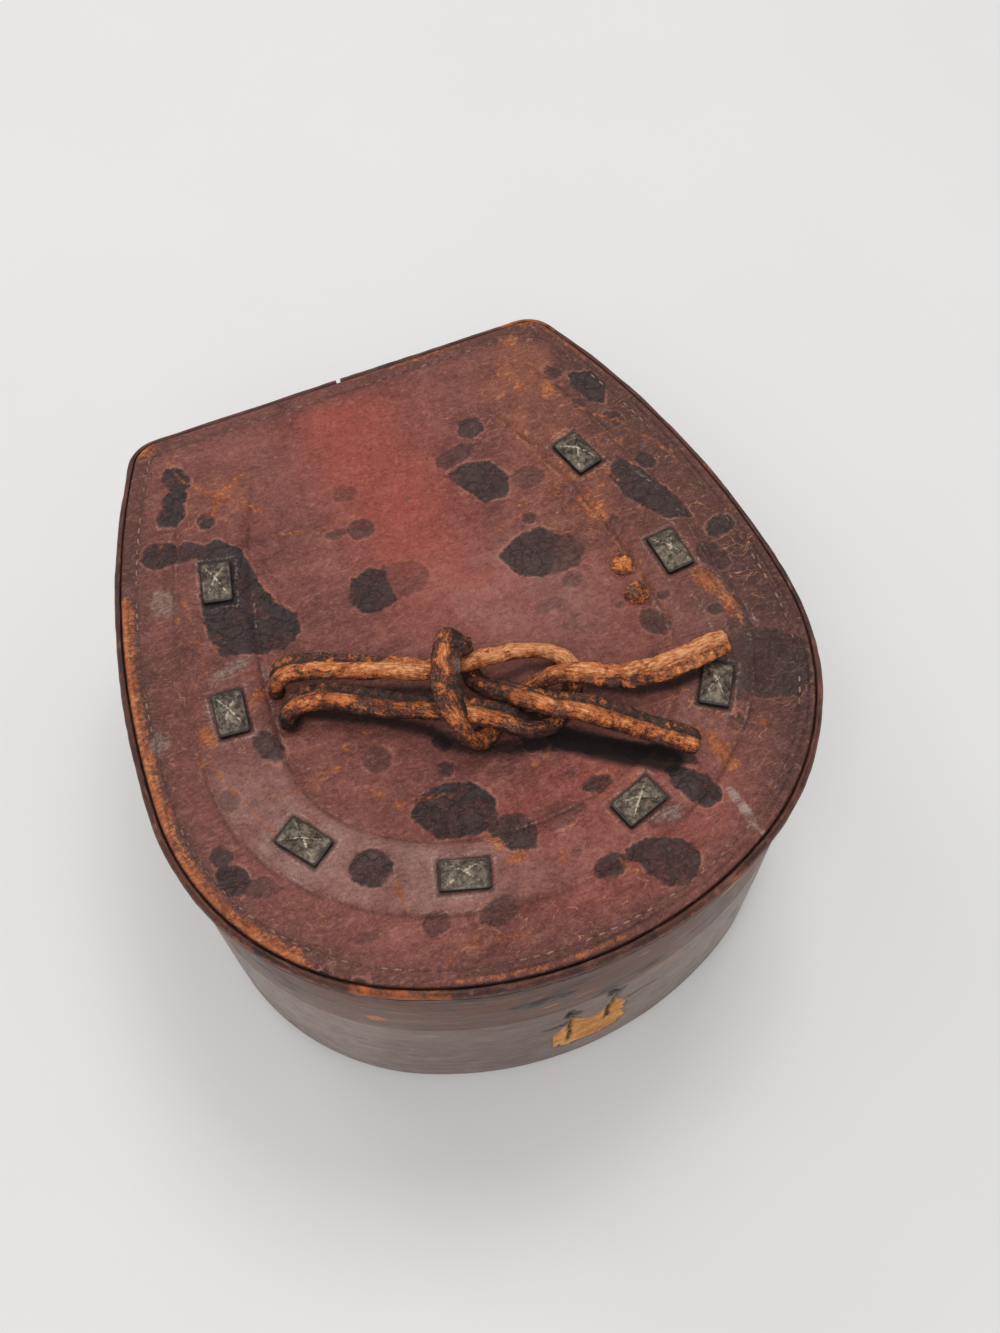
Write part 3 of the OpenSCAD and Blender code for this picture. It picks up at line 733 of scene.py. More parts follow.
# %% The raised horseshoe
SHOE_RISE = 1.4
OUTER_LINE = dict(half=69.0, toe=54.0, side_r=216.0)
INNER_LINE = dict(half=50.0, toe=37.0, side_r=197.0)
MIDDLE_LINE = dict(half=59.5, toe=45.5, side_r=206.5)
STUDS_AT = [(1, 55, -2.4), (-1, 54, -1.4), (1, 17.8, 0.4), (-1, 17.4, 0), (1, -21, 0), (-1, -20.5, 0),
            (1, -41.5, -2), (-1, -42.3, 0)]
STUD_LENGTH, STUD_WIDTH = 11.8, 7.4
HEEL_OUT, HEEL_IN = (47.95, 93.0), (33.47, 79.0)
SLOPE_STEP = 0.1


def line_x(y, half, toe, side_r):
    """Half width of a horseshoe line at a height on the lid."""
    return half * math.sqrt(1 - (y / toe) ** 2) if y < 0 else half - side_r + math.sqrt(side_r**2 - y * y)


def inside_line(x, y, half, toe, side_r):
    """Distance inside a horseshoe line, below 0 outside it."""
    far = np.hypot(x, y) + 1e-6
    oval = 1 / np.hypot(x / far / half, y / far / toe) - far
    side = half - side_r + np.sqrt(side_r**2 - np.clip(y, 0, 150) ** 2) - np.abs(x)
    return np.where(y < 0, oval, side)


def inside_web(x, y):
    """Distance inside the raised band between the horseshoe's two lines."""
    return np.minimum(inside_line(x, y, **OUTER_LINE), -inside_line(x, y, **INNER_LINE))


def heel_end(x, y):
    """Distance inside the slanting cut that ends the horseshoe at the heel."""
    ex, ey = HEEL_OUT[0] - HEEL_IN[0], HEEL_OUT[1] - HEEL_IN[1]
    return ((np.abs(x) - HEEL_IN[0]) * ey - (y - HEEL_IN[1]) * ex) / math.hypot(ex, ey)


def stud_gaps(x, y):
    """Distance outside each stud's oblong."""
    for sx, sy, turn in studs:
        u = (x - sx) * math.cos(turn) + (y - sy) * math.sin(turn)
        v = (y - sy) * math.cos(turn) - (x - sx) * math.sin(turn)
        yield np.maximum(np.abs(u) - STUD_LENGTH / 2, np.abs(v) - STUD_WIDTH / 2)


studs = []
for side, stud_y, off in STUDS_AT:
    ahead, behind = (line_x(stud_y + move, **MIDDLE_LINE) for move in (SLOPE_STEP, -SLOPE_STEP))
    turn = math.atan2(1, side * (ahead - behind) / (2 * SLOPE_STEP))
    studs.append((side * (line_x(stud_y, **MIDDLE_LINE) + off), stud_y, turn))
print("studs", [(round(x, 1), y, round(math.degrees(t))) for x, y, t in studs])

# %% [markdown]
# ## Marks on the lid
# Each mark is placed one by one. Ovals are sorted by strength: place, half sizes and a turn
# if they have one. Bigger marks are patches with corners, and cracks are lines sorted by
# half width. Soot and painted shadow under the thong have a half width, a strength and a line.

# %% Marks placed one by one
DARK_SPOTS = {
    1: [(-52, 91, 3.2, 3), (-51, 87.5, 3.2, 3.2), (-53.5, 83.5, 3.4, 3), (-56, 79, 4, 3.4)],
    0.95: [(-62, 68.5, 5, 4), (-71, -22.5, 3.4, 4.4, 25), (-41, -32.5, 5, 4.6)],
    0.85: [(-55.5, 66, 4, 2.8), (-72, -16, 2.6, 2.6), (75, 20.5, 4, 3, 10)],
    0.9: [(-48, 73, 2.4, 2.4), (10, -53, 4.2, 2.6, 5)],
    0.8: [(-53, 5.5, 3, 4.6, 20), (27, 75, 3.6, 3.4), (66, 47, 2.4, 3, 30), (15.5, -33, 3.6, 2.2)],
    0.6: [
        (-66, -26.5, 3.6, 2.6, -20), (19.5, 68, 6, 2.8, 15), (57, 71, 2.2, 2), (69, 13, 3.6, 5, 20),
        (52, 7, 1.6, 1.4), (53, -32, 2.6, 2.2), (-32, -50, 3.2, 2.6), (-18, -53, 4.6, 3, 10),
        (62, -2, 2, 1.6),
    ],
    0.45: [(-30, -7, 3.4, 3.6), (-11.5, 68, 3.2, 2.4), (26, -46.5, 4.4, 2.6, 10), (-47, -47, 2.6, 1.4)],
    0.7: [
        (-13.5, -8.5, 3, 2.6), (-16, -15.5, 2.2, 2), (30.5, 42, 2, 1.6), (55, 84, 1.8, 3, 40),
        (47, 1.5, 3, 4.4, 20), (-60, -52, 3.2, 1.4, 35),
    ],
    0.38: [(-6.5, 37.5, 6.5, 5.4)],
    0.55: [(-18, 57, 2.8, 1.4), (64, 63, 2, 3, 30)],
    0.65: [(-11.5, 56, 3.4, 3.2, -20)],
    0.5: [
        (35, 54, 4.6, 3.6), (66, -9, 3.4, 5), (57, -24, 3, 4, 10), (-10, 43, 0.9, 0.8), (11, -28, 1.8, 1),
        (50, 33, 1.2, 1.2), (-41, 77, 1, 1),
    ],
    0.4: [(33, 20.5, 3, 2.4), (3, 60, 0.8, 0.8), (41, 9, 1.2, 1)],
    0.35: [(25, 16, 4.4, 1.8), (-66, -4, 2.6, 3), (4, -47, 1.6, 1.4)],
    0.75: [(-54, -57, 3.4, 1.6, 25)],
    0.3: [(-3, 83, 0.8, 0.8)],
}
DARK_PATCHES = {
    1: [
        [(-53, 65), (-47, 67), (-42, 61), (-41, 51), (-38.5, 43), (-35, 39), (-35.5, 33), (-41, 30),
         (-50, 31.5), (-56, 33), (-57.5, 40), (-56.5, 48)],
        [(-28, -24), (-25, -19.5), (-17, -19), (-10.5, -22), (-8, -27), (-9.5, -33), (-16, -34),
         (-24, -31.5)],
    ],
    0.95: [
        [(-21.5, 37), (-19, 42.5), (-13.5, 44), (-9, 41.5), (-8, 36.5), (-10.5, 32), (-16, 30.5),
         (-20.5, 33)],
        [(59, 82), (65, 80), (67, 74), (64, 68.5), (60.5, 71), (58, 77)],
        [(31.3, -36.1), (34.2, -36.2), (36.2, -38.4), (39.8, -41.2), (41.9, -45.4), (40.6, -48.3),
         (36.7, -48.7), (33.5, -45.5), (31.4, -41)],
    ],
    0.9: [
        [(-12, -31), (-4, -33), (-1, -36.5), (-4, -42.5), (-9.5, -41.5), (-13, -37)],
        [(15, 63), (21, 65), (27.5, 63), (30.5, 57), (28, 50.5), (21.5, 51), (18, 57)],
        [(18, 34), (24, 38), (32, 38.5), (36, 33), (34, 27), (27, 24), (21, 27)],
        [(54.5, 46), (59, 50), (64, 44), (69, 33), (69.5, 26), (63, 27), (56, 37)],
        [(14.3, -50.8), (20.2, -50.3), (26.4, -52), (29.8, -55.2), (29.9, -59), (27.3, -62.5),
         (23.3, -63.8), (19.3, -61.6), (17.2, -57.6), (16.2, -54.6), (13.6, -53)],
    ],
    0.42: [
        [(-3, -34), (6, -33.5), (11.5, -37), (5, -40.5), (-2, -40)],
    ],
    0.7: [
        [(31, 33), (38, 34), (40, 28.5), (36, 23.5), (29, 24)],
        [(62.1, -10), (66.6, -8.8), (74, -12), (79, -18), (76, -28.1), (70.6, -31), (61.7, -28),
         (56.3, -25), (52, -26), (49.5, -21), (53.7, -16.2)],
    ],
    # This patch lies under the right strand: it is partly stain and partly the strand's painted shadow.
    0.8: [
        [(3, -14.5), (14.6, -17.5), (22, -22.5), (30, -27.5), (39.5, -35), (39.5, -38.5), (32, -34.5),
         (22, -28), (12, -22.5), (4, -19)],
    ],
}
BARE_SPOTS = {
    1: [
        (-56.5, 102.5, 3, 2.4), (-76, 96, 1.4, 3, 12), (57, 103, 4.4, 1.7, -8),
        (62.5, 99.5, 1.4, 2.6, 25), (63.7, 6.5, 2.4, 5, 25), (66.2, -2.5, 1.8, 5.4, 4),
        (46, -37, 2, 5.8, 14), (-66, 13.5, 2.2, 3.4), (48, 99, 2.8, 1.7),
    ],
    0.9: [
        (51, 78, 2, 3.4, -40), (42, -31, 2.4, 1.6, 40), (-9, -43, 3.4, 1.6), (-37, -40.5, 0.9, 3.4, 8),
        (45.5, 41.5, 3.2, 1.2, 25),
    ],
    0.7: [(44.5, 82, 1.4, 2.4, 30), (14, -55, 1, 2.6, 30), (47, 37, 2.6, 4, 30), (-16, 61, 0.6, 0.6)],
    0.8: [
        (-41.5, 78.5, 3.4, 1.2, 20), (-51, 19.5, 3.6, 1.6, 30), (-12.5, -37.5, 1.4, 4, 30),
        (-69, 8, 1, 1), (-36, -1, 1, 0.8), (-57.5, -54.5, 1.6, 1, 30), (56, -12, 0.9, 2.4, 15),
    ],
    0.6: [
        (-63.5, 48, 1, 1), (0.5, -46.5, 0.9, 1.8), (-30.5, 1, 0.8, 0.8), (-7, 67, 0.5, 0.5),
        (-30, 50, 0.5, 0.5), (24, -36, 1, 1.8), (34, -34.5, 1, 1.4), (59, -34, 1.4, 1.2),
    ],
    0.5: [(62, 55, 1, 1.8, 35), (51, 18, 2.4, 1)],
}
BARE_LINES = {
    0.95: [[(-47, 84), (-44, 80), (-39, 81.5), (-35, 84.5)], [(-44, 80), (-44.5, 75), (-47, 74)]],
    0.75: [[(-44, 77), (-39, 76), (-34, 72)]],
    0.35: [
        [(-40, 70), (-37, 68.5)], [(-52, 97), (-50, 88), (-47, 84)], [(39, 80), (41, 88), (48, 92)],
        [(66, 58), (71, 52), (74, 44)], [(20, 41), (32, 45), (42, 47)], [(27, 47), (36, 46), (44, 51)],
        [(-30, -19), (-22, -21), (-15, -23)], [(-34, -14), (-30, -20), (-26, -21)],
        [(-27, -58), (-18, -59), (-12, -60)], [(15, -36), (17, -40), (22, -43)],
        [(38, -28), (41, -22), (44, -17)], [(56, -16), (56, -24), (52, -33)],
        [(-6, 43), (2, 41), (10, 42)], [(-9, -24), (-2, -25), (7, -22), (13, -16)],
        [(14, -37), (24, -35), (31, -32)],
    ],
    0.4: [
        [(34, 79), (38, 66), (43, 50), (47, 34), (49, 22), (50, 10)], [(49, 95), (51, 88), (49, 83)],
        [(52, 52), (60, 60), (63, 56)], [(-67, 10), (-66, 2), (-62, -8), (-57, -20)],
        [(44, -15), (45, -20), (49, -24), (50, -30)],
    ],
    0.3: [
        [(34, 79), (38, 86), (46, 93)], [(-61, 4), (-60, -3), (-55, -9)],
        [(-47, -9), (-40, -5), (-34, -4)], [(-57, -7), (-50, -8), (-45, -5), (-38, -6)],
        [(-34, -60), (-30, -58), (-27, -56), (-22, -57)], [(48, -38), (54, -32), (61, -27)],
        [(-40, 52), (-39, 44), (-34, 40)], [(-60, 58), (-60, 44), (-61, 30)],
        [(-33, 63), (-22, 60), (-10, 60)], [(-64, 70), (-52, 73), (-44, 74)],
        [(-62, 40), (-56, 36), (-55, 27)], [(26, -29), (20, -31), (14, -30)],
    ],
    0.8: [[(42, 92), (45, 86), (43, 79)]],
    0.5: [[(55, 72), (60, 66), (66, 60)], [(42, 41), (48, 42), (53, 44)]],
    0.45: [[(44, 50), (49, 47), (54, 49), (56, 43)]],
}
MOULD_SPOTS = {
    1: [(-65.5, 54.5, 3.2, 4), (-77, 17, 2.4, 2.4)],
    0.9: [(-55, 29, 5, 1.8, 15)],
    0.8: [(-46, 25, 1.6, 2.4)],
    0.6: [(28, -47, 3.4, 1.8)],
    0.3: [(-62, 20, 2, 2)],
}
SCUFF_LINES = {
    1.1: [[(43.7, -47.1), (44.5, -50.7), (44.9, -55)]],
    0.4: [[(44.9, -56), (46.1, -59.5)]],
    0.2: [[(70, -1), (70.5, -9)]],
    0.1: [[(59, 3), (59, -14)], [(67, 8), (66.5, -12)], [(61, 46), (66, 34), (68, 26)]],
}
# Lines under the thong's strands, darkened near black: soot together with the strands' painted shadow.
SOOT_AND_SHADOW_LINES = [
    (1.2, 0.9, [(-46, 9), (-42.9, 11.6), (-34.3, 7.2), (-25.8, 2.4), (-15.8, -4.7), (-13.1, -9.8)]),
    (1.4, 0.85, [(-13.1, -9.8), (-6.5, -13.8), (2.6, -17), (11.6, -20)]),
    (3, 0.95, [(12, -18.4), (19.4, -24.2), (28.8, -31), (33.6, -35)]),
    (1.2, 0.85, [(24.9, -8.4), (35.2, -14.6), (46.3, -16.8), (55, -16)]),
    (1, 0.6, [(4.8, 0.9), (13.1, 1.6), (19.9, -1.3)]),
    (0.7, 0.8, [(-41.5, 16.9), (-32.3, 13.4), (-18.6, 8.2), (-10.5, 4.8)]),
]


def creased(x, y, inset):
    """Distance from the wandering crease beside the rim."""
    return np.abs(inset - 4.3 - 0.4 * hills(x, y, 17, 9))


def mark_fields(x, y, inset):
    """The depth fields that the lid's material reads, one number a point."""
    stain, power = spot_depth(x, y, DARK_SPOTS)
    for strength, corners in each(DARK_PATCHES):
        depth = patch_depth(x, y, corners)
        stain, power = np.maximum(depth, stain), np.where(depth > stain, strength, power)
    wear, share = spot_depth(x, y, BARE_SPOTS)
    wear = wear - (1 - share) * 0.8
    for width, line in each(BARE_LINES):
        wear = np.maximum(wear, width - 0.25 - line_gap(x, y, line))
    left_edge = ease(-x, 55, 68) * ease(y, 68, 52) * ease(y, -60, -46)
    band = np.minimum(inset - 1.7, 4.6 - inset) + 0.3 + 0.6 * hills(x, y, 9, 15)
    wear = np.maximum(wear, np.where(left_edge > 0.5, band, -3.0))
    wear = np.maximum(wear, 1.2 * hills(x, y, 22, 3) - 0.7 - np.abs(inset - 3.4))
    scuff_and_highlight = np.full(x.shape, OUTSIDE)
    for width, line in each(SCUFF_LINES):
        scuff_and_highlight = np.maximum(scuff_and_highlight, width - line_gap(x, y, line))
    glow = ease(np.abs(x - 2 + 0.12 * (y - 50)), 26, 2) * ease(y, -12, 35) * ease(y, 106, 90)
    glow = glow + 0.55 * ease(np.hypot((x - 12) / 1.6, y + 42), 26, 6)
    shade = ease(x, 40, 76) * 0.95 + 0.35 * ease(-x, 30, 80) + 0.5 * ease(inset, 12, 4)
    shade = shade + 0.3 * ease(y, 0, 90) * ease(x, 30, 60)
    haze = ease(inside_web(x, y), -0.5, 1.5) * ease(y, 25, -20) * (0.2 + 0.55 * ease(-x, -10, 40))
    haze = haze + 0.45 * ease(np.hypot(x - 15, (y - 22) * 1.1), 34, 5)
    branch = ease(x, 28, 38) * ease(x, 60, 52) * ease(y, 18, 34) * ease(y, 99, 92)
    star = ease(np.hypot(x + 42, y - 79), 11, 3)
    ochre = 0.5 * branch + 0.75 * star + 0.3 * ease(np.hypot(x - 52, y - 92), 16, 6)
    ochre = ochre + 0.2 * ease(x, 50, 62) * ease(np.abs(y - 50), 40, 20)
    crazed = 0.43 + 0.2 * branch + 0.25 * star + 0.12 * ease(x, 20, 60)
    crazed = crazed + 0.1 * ease(-x, 30, 70) + 0.06 * ease(-y, 0, 40)
    # Darker along the crease against the rim, the seam, the wandering crease beside it, the horseshoe's
    # lines and round the studs.
    dirt = 0.9 * ease(np.abs(inset - 2.1), 0.5, 0.1) + 0.3 * ease(np.abs(inset - 6.15), 0.45, 0.1)
    folded = 0.75 * ease(creased(x, y, inset), 0.5, 0.1) * ease(x - 0.6 * y, -10, 30)
    dirt = np.maximum(dirt, folded * (0.6 + 0.4 * hills(x, y, 7, 19)))
    for line in (OUTER_LINE, INNER_LINE):
        edge = inside_line(x, y, **line)
        dirt = np.maximum(dirt, 0.4 * ease(np.abs(edge + 0.3), 0.5, 0.1) * (y < 80))
        # A broken pale line on the lip of each horseshoe edge: a painted highlight.
        lip_highlight = 0.1 - np.abs(edge - 0.5) - 1.2 * ease(y, 77, 80)
        scuff_and_highlight = np.maximum(scuff_and_highlight, lip_highlight - 0.7 * ease(hills(x, y, 14, 27), 0, 0.5))
    for gap in stud_gaps(x, y):
        dirt = np.maximum(dirt, 0.95 * ease(gap, 0.8, 0.1))
        scuff_and_highlight = np.maximum(scuff_and_highlight, 0.15 - np.abs(gap - 1.3))
    # Soot and painted shadow under the thong's strands.
    soot_and_shadow = np.zeros(x.shape)
    for width, strength, line in SOOT_AND_SHADOW_LINES:
        soot_and_shadow = np.maximum(soot_and_shadow, strength * ease(line_gap(x, y, line), width + 1.6, width - 0.6))
    fields = dict(soot_and_shadow=soot_and_shadow, stain=stain, stain_power=power, wear=wear, scuff_and_highlight=scuff_and_highlight, haze=haze)
    fields.update(mould=spot_depth(x, y, MOULD_SPOTS)[0], crazed=crazed, ochre=np.clip(ochre, 0, 0.8))
    fields.update(glow=np.clip(glow, 0, 1), shade=np.clip(shade, 0, 1), seam_dirt=np.clip(dirt, 0, 1))
    return fields


# %% [markdown]
# ## Raising the skin
# The edge rows are listed: a crease against the rim, a worn bead and a groove for
# the seam. Past them the rows close in on the middle at about 0.65 mm a step.

# %% Lid top
ROUND, INNER_ROWS, UNDER_Z, MIDDLE_INSET = 780, 102, 92.85, 80.0
THONG_HOLES = [(-46.5, 3), (-46.5, -6), (46.5, 3), (46.5, -6)]
EDGE_ROWS = [2.12, 2.25, 2.45, 2.7, 3.0, 3.4, 3.8, 4.1, 4.4, 4.7, 5.0, 5.3, 5.6, 5.85, 6.15, 6.45, 6.7,
             7.0, 7.5, 8.1, 8.7]
EDGE_AT = [2.12, 2.25, 2.45, 2.7, 3.4, 4.4, 5.3, 5.85, 6.15, 6.45, 7.0]
EDGE_RISE = [-0.9, -0.5, -0.2, 0, 0.14, 0.1, 0, -0.12, -0.26, -0.12, 0]
rows = [ring(inset, ROUND) for inset in EDGE_ROWS]
row_inset = [np.full(ROUND, inset) for inset in EDGE_ROWS]
innermost = rows[-1]
for k in range(1, INNER_ROWS):
    rows.append(innermost * (1 - k / INNER_ROWS))
    row_inset.append(EDGE_ROWS[-1] + k / INNER_ROWS * np.linalg.norm(innermost, axis=1))


def lid_height(x, y, inset):
    """Height in mm of the lid's skin over its flat level."""
    rise = SHOE_RISE * ease(inside_web(x, y), -0.8, 2.4) * ease(heel_end(x, y), -2.5, 7)
    edge = np.interp(inset, EDGE_AT, EDGE_RISE)
    edge = edge - 0.16 * ease(creased(x, y, inset), 0.6, 0.1) * ease(x - 0.6 * y, -10, 30)
    loose = 0.16 * hills(x, y, 19, 1) + 0.07 * hills(x, y, 6, 2) + 0.035 * hills(x, y, 2.2, 5)
    height = rise + edge + loose * ease(inset, 3, 12)
    for gap in stud_gaps(x, y):
        flat = ease(gap, 2.2, 0.2)
        height = height * (1 - flat) + (SHOE_RISE - 0.25 * ease(gap, 2.2, 0.4)) * flat
    for hole_x, hole_y in THONG_HOLES:
        height = height - 0.5 * ease(np.hypot(x - hole_x, y + WIDEST_Y - hole_y), 5.0, 3.0)
    return height


plan = np.vstack(rows + [np.zeros((1, 2)), rows[0], np.zeros((1, 2))])
inset = np.concatenate(row_inset + [[MIDDLE_INSET], row_inset[0], [MIDDLE_INSET]])
below = len(rows) * ROUND + 1
x, y = plan[:, 0], plan[:, 1] - WIDEST_Y
z = np.full(len(plan), UNDER_Z)
z[:below] = LID_Z + lid_height(x[:below], y[:below], inset[:below])
faces = [face[::-1] for face in disc_faces(len(rows), ROUND)]
faces += belt_faces(range(ROUND), range(below, below + ROUND)) + disc_faces(1, ROUND, below)
lid_skin = new_piece("lid_top_skin", np.column_stack([plan, z]), faces)
note(lid_skin, **mark_fields(x, y, inset))
settle(lid_skin, top_leather, "top_leather", "lid", "lid_top_leather")
print("lid skin", len(plan), "points")

# %% [markdown]
# ## Covers that wrap round the box
# The walls and the rim are strips of leather, so one function sweeps a closed section
# round the rim line. The section's points are insets and heights, and a small wander
# keeps each wall from looking pressed by a machine.


# %% Sweep a section round the box
def sweep(name, section, count, wander, gap=0):
    """Sweeps a closed section round the box. A gap leaves the heel open from -gap to gap."""
    line, out, run = rim_line(count)
    if gap:
        run = run * (1 - 2 * gap / run[-1]) + gap
        line, out, whole = rim_line(3000)
        whole = np.append(whole, whole[-1] + whole[1])
        line, out = (np.vstack([values, values[:1]]).T for values in (line, out))
        line, out = (np.column_stack([np.interp(run, whole, v) for v in values]) for values in (line, out))
    rows = len(section)
    inset, z = (np.repeat([float(p[i]) for p in section], count) for i in (0, 1))
    around = np.tile(run, rows)
    inset, z = wander(inset, z, around)
    points = np.column_stack([np.tile(line, (rows, 1)) - np.tile(out, (rows, 1)) * inset[:, None], z])
    faces = grid_faces(rows, count, around=not gap, closed=True)
    if gap:
        faces += [[r * count for r in range(rows)][::-1], [r * count + count - 1 for r in range(rows)]]
    return new_piece(name, points, faces), points[:, 0], points[:, 1], points[:, 2], inset, around


# %% [markdown]
# ## The rim of the lid
# A strip of leather is wrapped round the joint of the top and the skirt, and its ends
# meet in a butt joint at the middle of the heel, where the photograph shows a notch.


# %% Rim band
def worn_rim(inset, z, around):
    """Wears the crown of the rim unevenly."""
    dent = 0.12 + 0.1 * hills(around, 0 * around, 9, 4) + 0.06 * hills(around, 0 * around, 2.5, 6)
    dent = np.maximum(dent, 0)
    return inset + dent * ease(1.2 - inset, 0, 1), z - 0.6 * dent * ease(z, 91.5, 93.5)


RIM_SECTION = [
    (2.65, 88.65), (1.6, 88.65), (0.95, 88.7), (0.55, 88.95), (0.25, 89.35), (0.06, 89.9), (0.0, 90.3),
    (0.3, 90.7), (0.0, 91.05), (0.0, 91.7), (0.08, 92.2), (0.25, 92.65), (0.5, 93.0), (0.8, 93.28),
    (1.1, 93.43), (1.4, 93.48), (1.65, 93.4), (1.85, 93.2), (1.97, 92.9), (2.0, 92.82), (2.65, 92.78),
]
rim, x, y, z, inset, around = sweep("lid_rim_leather", RIM_SECTION, 900, worn_rim, gap=0.4)
y = y - WIDEST_Y
front = ease(-y, 5, 20)
wear = 0.8 * hills(around, z * 2, 12, 8) - 0.7 - 0.7 * np.abs(z - 92.0)
wear += front * (0.7 * ease(x, -54, -62) + 1.3 * ease(x, -57, -54) * ease(x, -33, -37))
wear += 0.5 * front * ease(x, 0, 20)
for cx, cy, depth, reach in ((-80, 99, 2.4, 3), (58, 106, 2.2, 4)):
    wear = np.maximum(wear, depth - np.hypot(x - cx, y - cy) / reach)
# Darker in the rim's groove, on its underside and where it meets the top.
rim_darkening = np.maximum(0.95 * ease(np.abs(z - 90.7), 0.5, 0.1), 0.9 * ease(z, 89.6, 88.9))
rim_darkening = np.maximum(rim_darkening, 0.7 * ease(inset, 1.5, 1.95))
note(rim, wear=wear, run=around, level=z - inset, seam_dirt=rim_darkening)
settle(rim, edge_leather, "edge_leather", "lid", "lid_rim_band")

# %% [markdown]
# ## The walls
# The skirt of the lid and the wall of the base are each one strip, turned in over the
# board's edge. Rows of points about a millimetre apart carry the marks. The torn clasp
# patch and the two slits are pressed into the mesh as well as coloured.

# %% Walls
WALL_ROUND = 780
SKIRT_SPOTS = {
    1: [(-14, 70, 8, 2.8, 6)],
    0.9: [(-8, 75.5, 5, 1.4, 5), (52, 82, 8, 2.5)],
    0.8: [(32, 84, 9, 2.2, -4), (66, 78, 6, 3), (3, 58, 3, 2), (60, 68, 9, 1.6, 2), (74, 72, 5, 2)],
    0.7: [(-30, 85.5, 30, 1.4), (16, 60, 4, 1.6)],
    0.3: [(-70, 70, 4, 8)],
    0.6: [(10, 62, 12, 1, 2)],
    0.75: [(34, 66, 9, 1.4, 3)],
    0.35: [(-40, 60, 16, 0.7)],
}
SKIRT_BARE = {
    1: [(-51.7, 64, 2.2, 2), (-46, 85.2, 14, 2.6)],
    0.7: [(-70, 85, 6, 1.6), (-8, 63.5, 9, 0.8, 4), (46, 73, 5, 1, 5)],
    0.8: [(44, 85.4, 9, 1.4), (40, 78, 6, 1.6, 4)],
    0.6: [(12, 84, 8, 1), (25, 70, 3.4, 0.8, 4), (6, 83, 1.6, 1)],
    0.5: [(12, 76, 2.4, 1)],
}
BASE_SPOTS = {
    0.9: [(-5.4, 47, 2.6, 2.4), (6.4, 52, 3, 2.6)],
    0.7: [(-9, 38, 3, 0.9, 8)],
    0.5: [(58, 40, 3, 9), (70, 30, 4, 12), (48, 30, 1.4, 5, 20)],
    0.4: [(30, 22, 8, 0.8), (76, 20, 3, 10)],
    0.3: [(-30, 18, 14, 0.7)],
}
BASE_BARE = {
    0.8: [(18, 54, 5, 0.9)],
    0.7: [(24, 52.5, 2.4, 0.8)],
    0.5: [(-62, 53, 3, 0.8), (14, 44, 1.6, 0.7)],
}
CLASP_PATCH = [
    (-10, 16), (-7, 12.6), (-1, 14.2), (4, 12.8), (9, 15.2), (10.8, 21), (9, 28), (10.8, 35), (8, 41),
    (6.4, 45), (4.6, 40), (1, 35), (-3, 38), (-5, 43), (-6.6, 38), (-8.4, 33), (-10.8, 27),
]
SLITS = {
    1.1: [[(-6.6, 47), (-6.2, 50.5)]],
    1.3: [[(5.6, 52), (4.2, 55)]],
    0.65: [[(-5.7, 16), (-5.4, 25), (-5.9, 34), (-5.2, 42), (-6.4, 47)]],
    0.5: [[(-7.4, 41), (-5.6, 38), (-4, 41)], [(7.2, 40), (5.5, 37), (3.9, 40.5)]],
    0.75: [[(5.3, 26), (5, 34), (5.7, 41), (6.6, 48), (6.2, 52)]],
    0.3: [[(-13, 38.2), (-9, 39.2), (-4, 38.4)], [(10, 39), (14, 40), (19, 39.4)]],
}


def soft_wall(inset, z, around):
    """Lets the wall wander in by up to a third of a millimetre."""
    wave = 0.14 + 0.11 * hills(around, z, 36, 11) + 0.05 * hills(around, z, 8, 12)
    wave = wave + 0.02 * hills(around, z, 2, 13)
    return inset + np.maximum(wave, 0) * ease(2.2 - inset, 0, 0.6), z


def clasp_wall(inset, z, around):
    """The base's wall, with the torn patch and the slits pressed in at the middle of the toe."""
    inset, z = soft_wall(inset, z, around)
    x, y = np.tile(rim_line(WALL_ROUND)[0], (len(inset) // WALL_ROUND, 1)).T
    torn = 0.4 * ease(patch_depth(x, z, CLASP_PATCH), -0.4, 0.5)
    for width, cut in each(SLITS):
        torn = torn + 0.5 * ease(line_gap(x, z, cut), width + 0.5, width * 0.4)
    torn = torn + 0.15 * torn * hills(x, z, 1.6, 21)
    return inset + np.where((y < -60) & (inset < 2.3), torn, 0), z


def wall_rows(low, high, step):
    """Section points for the plain middle of a wall."""
    return [(1.5, h) for h in np.linspace(low, high, int(round((high - low) / step)) + 1)]


def wall_fields(x, y, z, spots, bare, dirt):
    """The depth fields that the walls' material reads. Marks lie on the toe side."""
    away = np.where(y < -15, 0, -OUTSIDE)
    stain, power = spot_depth(x, z, spots)
    wear, share = spot_depth(x, z, bare)
    warmth = 0.5 * (z > 56) + 0.5 * ease(z, 58, 84) + 0.35 * ease(y, -20, 60)
    warmth = np.clip(warmth + 0.25 * ease(np.abs(x + 5), 50, 10), 0, 1)
    far = np.full(x.shape, OUTSIDE)
    fields = dict(stain=stain - away, stain_power=power, wear=wear - (1 - share) * 0.8 - away)
    fields.update(seam_dirt=np.clip(dirt, 0, 1), warmth=warmth, raw=far, slit=far)
    return fields


section = [(2.65, 56.25), (2.1, 56.22), (1.75, 56.35), (1.56, 56.65)] + wall_rows(57.2, 87.6, 1.15)
section += [(1.56, 88.1), (1.8, 88.45), (2.65, 88.55)]
skirt, x, y, z, inset, around = sweep("lid_skirt_skin", section, WALL_ROUND, soft_wall)
# Darker in a band about six millimetres deep just under the rim, and a little along the top edge.
dirt = 0.9 * ease(88.6 - z, 7.4, 6) + 0.2 * ease(88.6 - z, 0.9, 0.1)
note(skirt, **wall_fields(x, y, z, SKIRT_SPOTS, SKIRT_BARE, dirt))
settle(skirt, side_leather, "side_leather", "lid", "lid_skirt_leather")

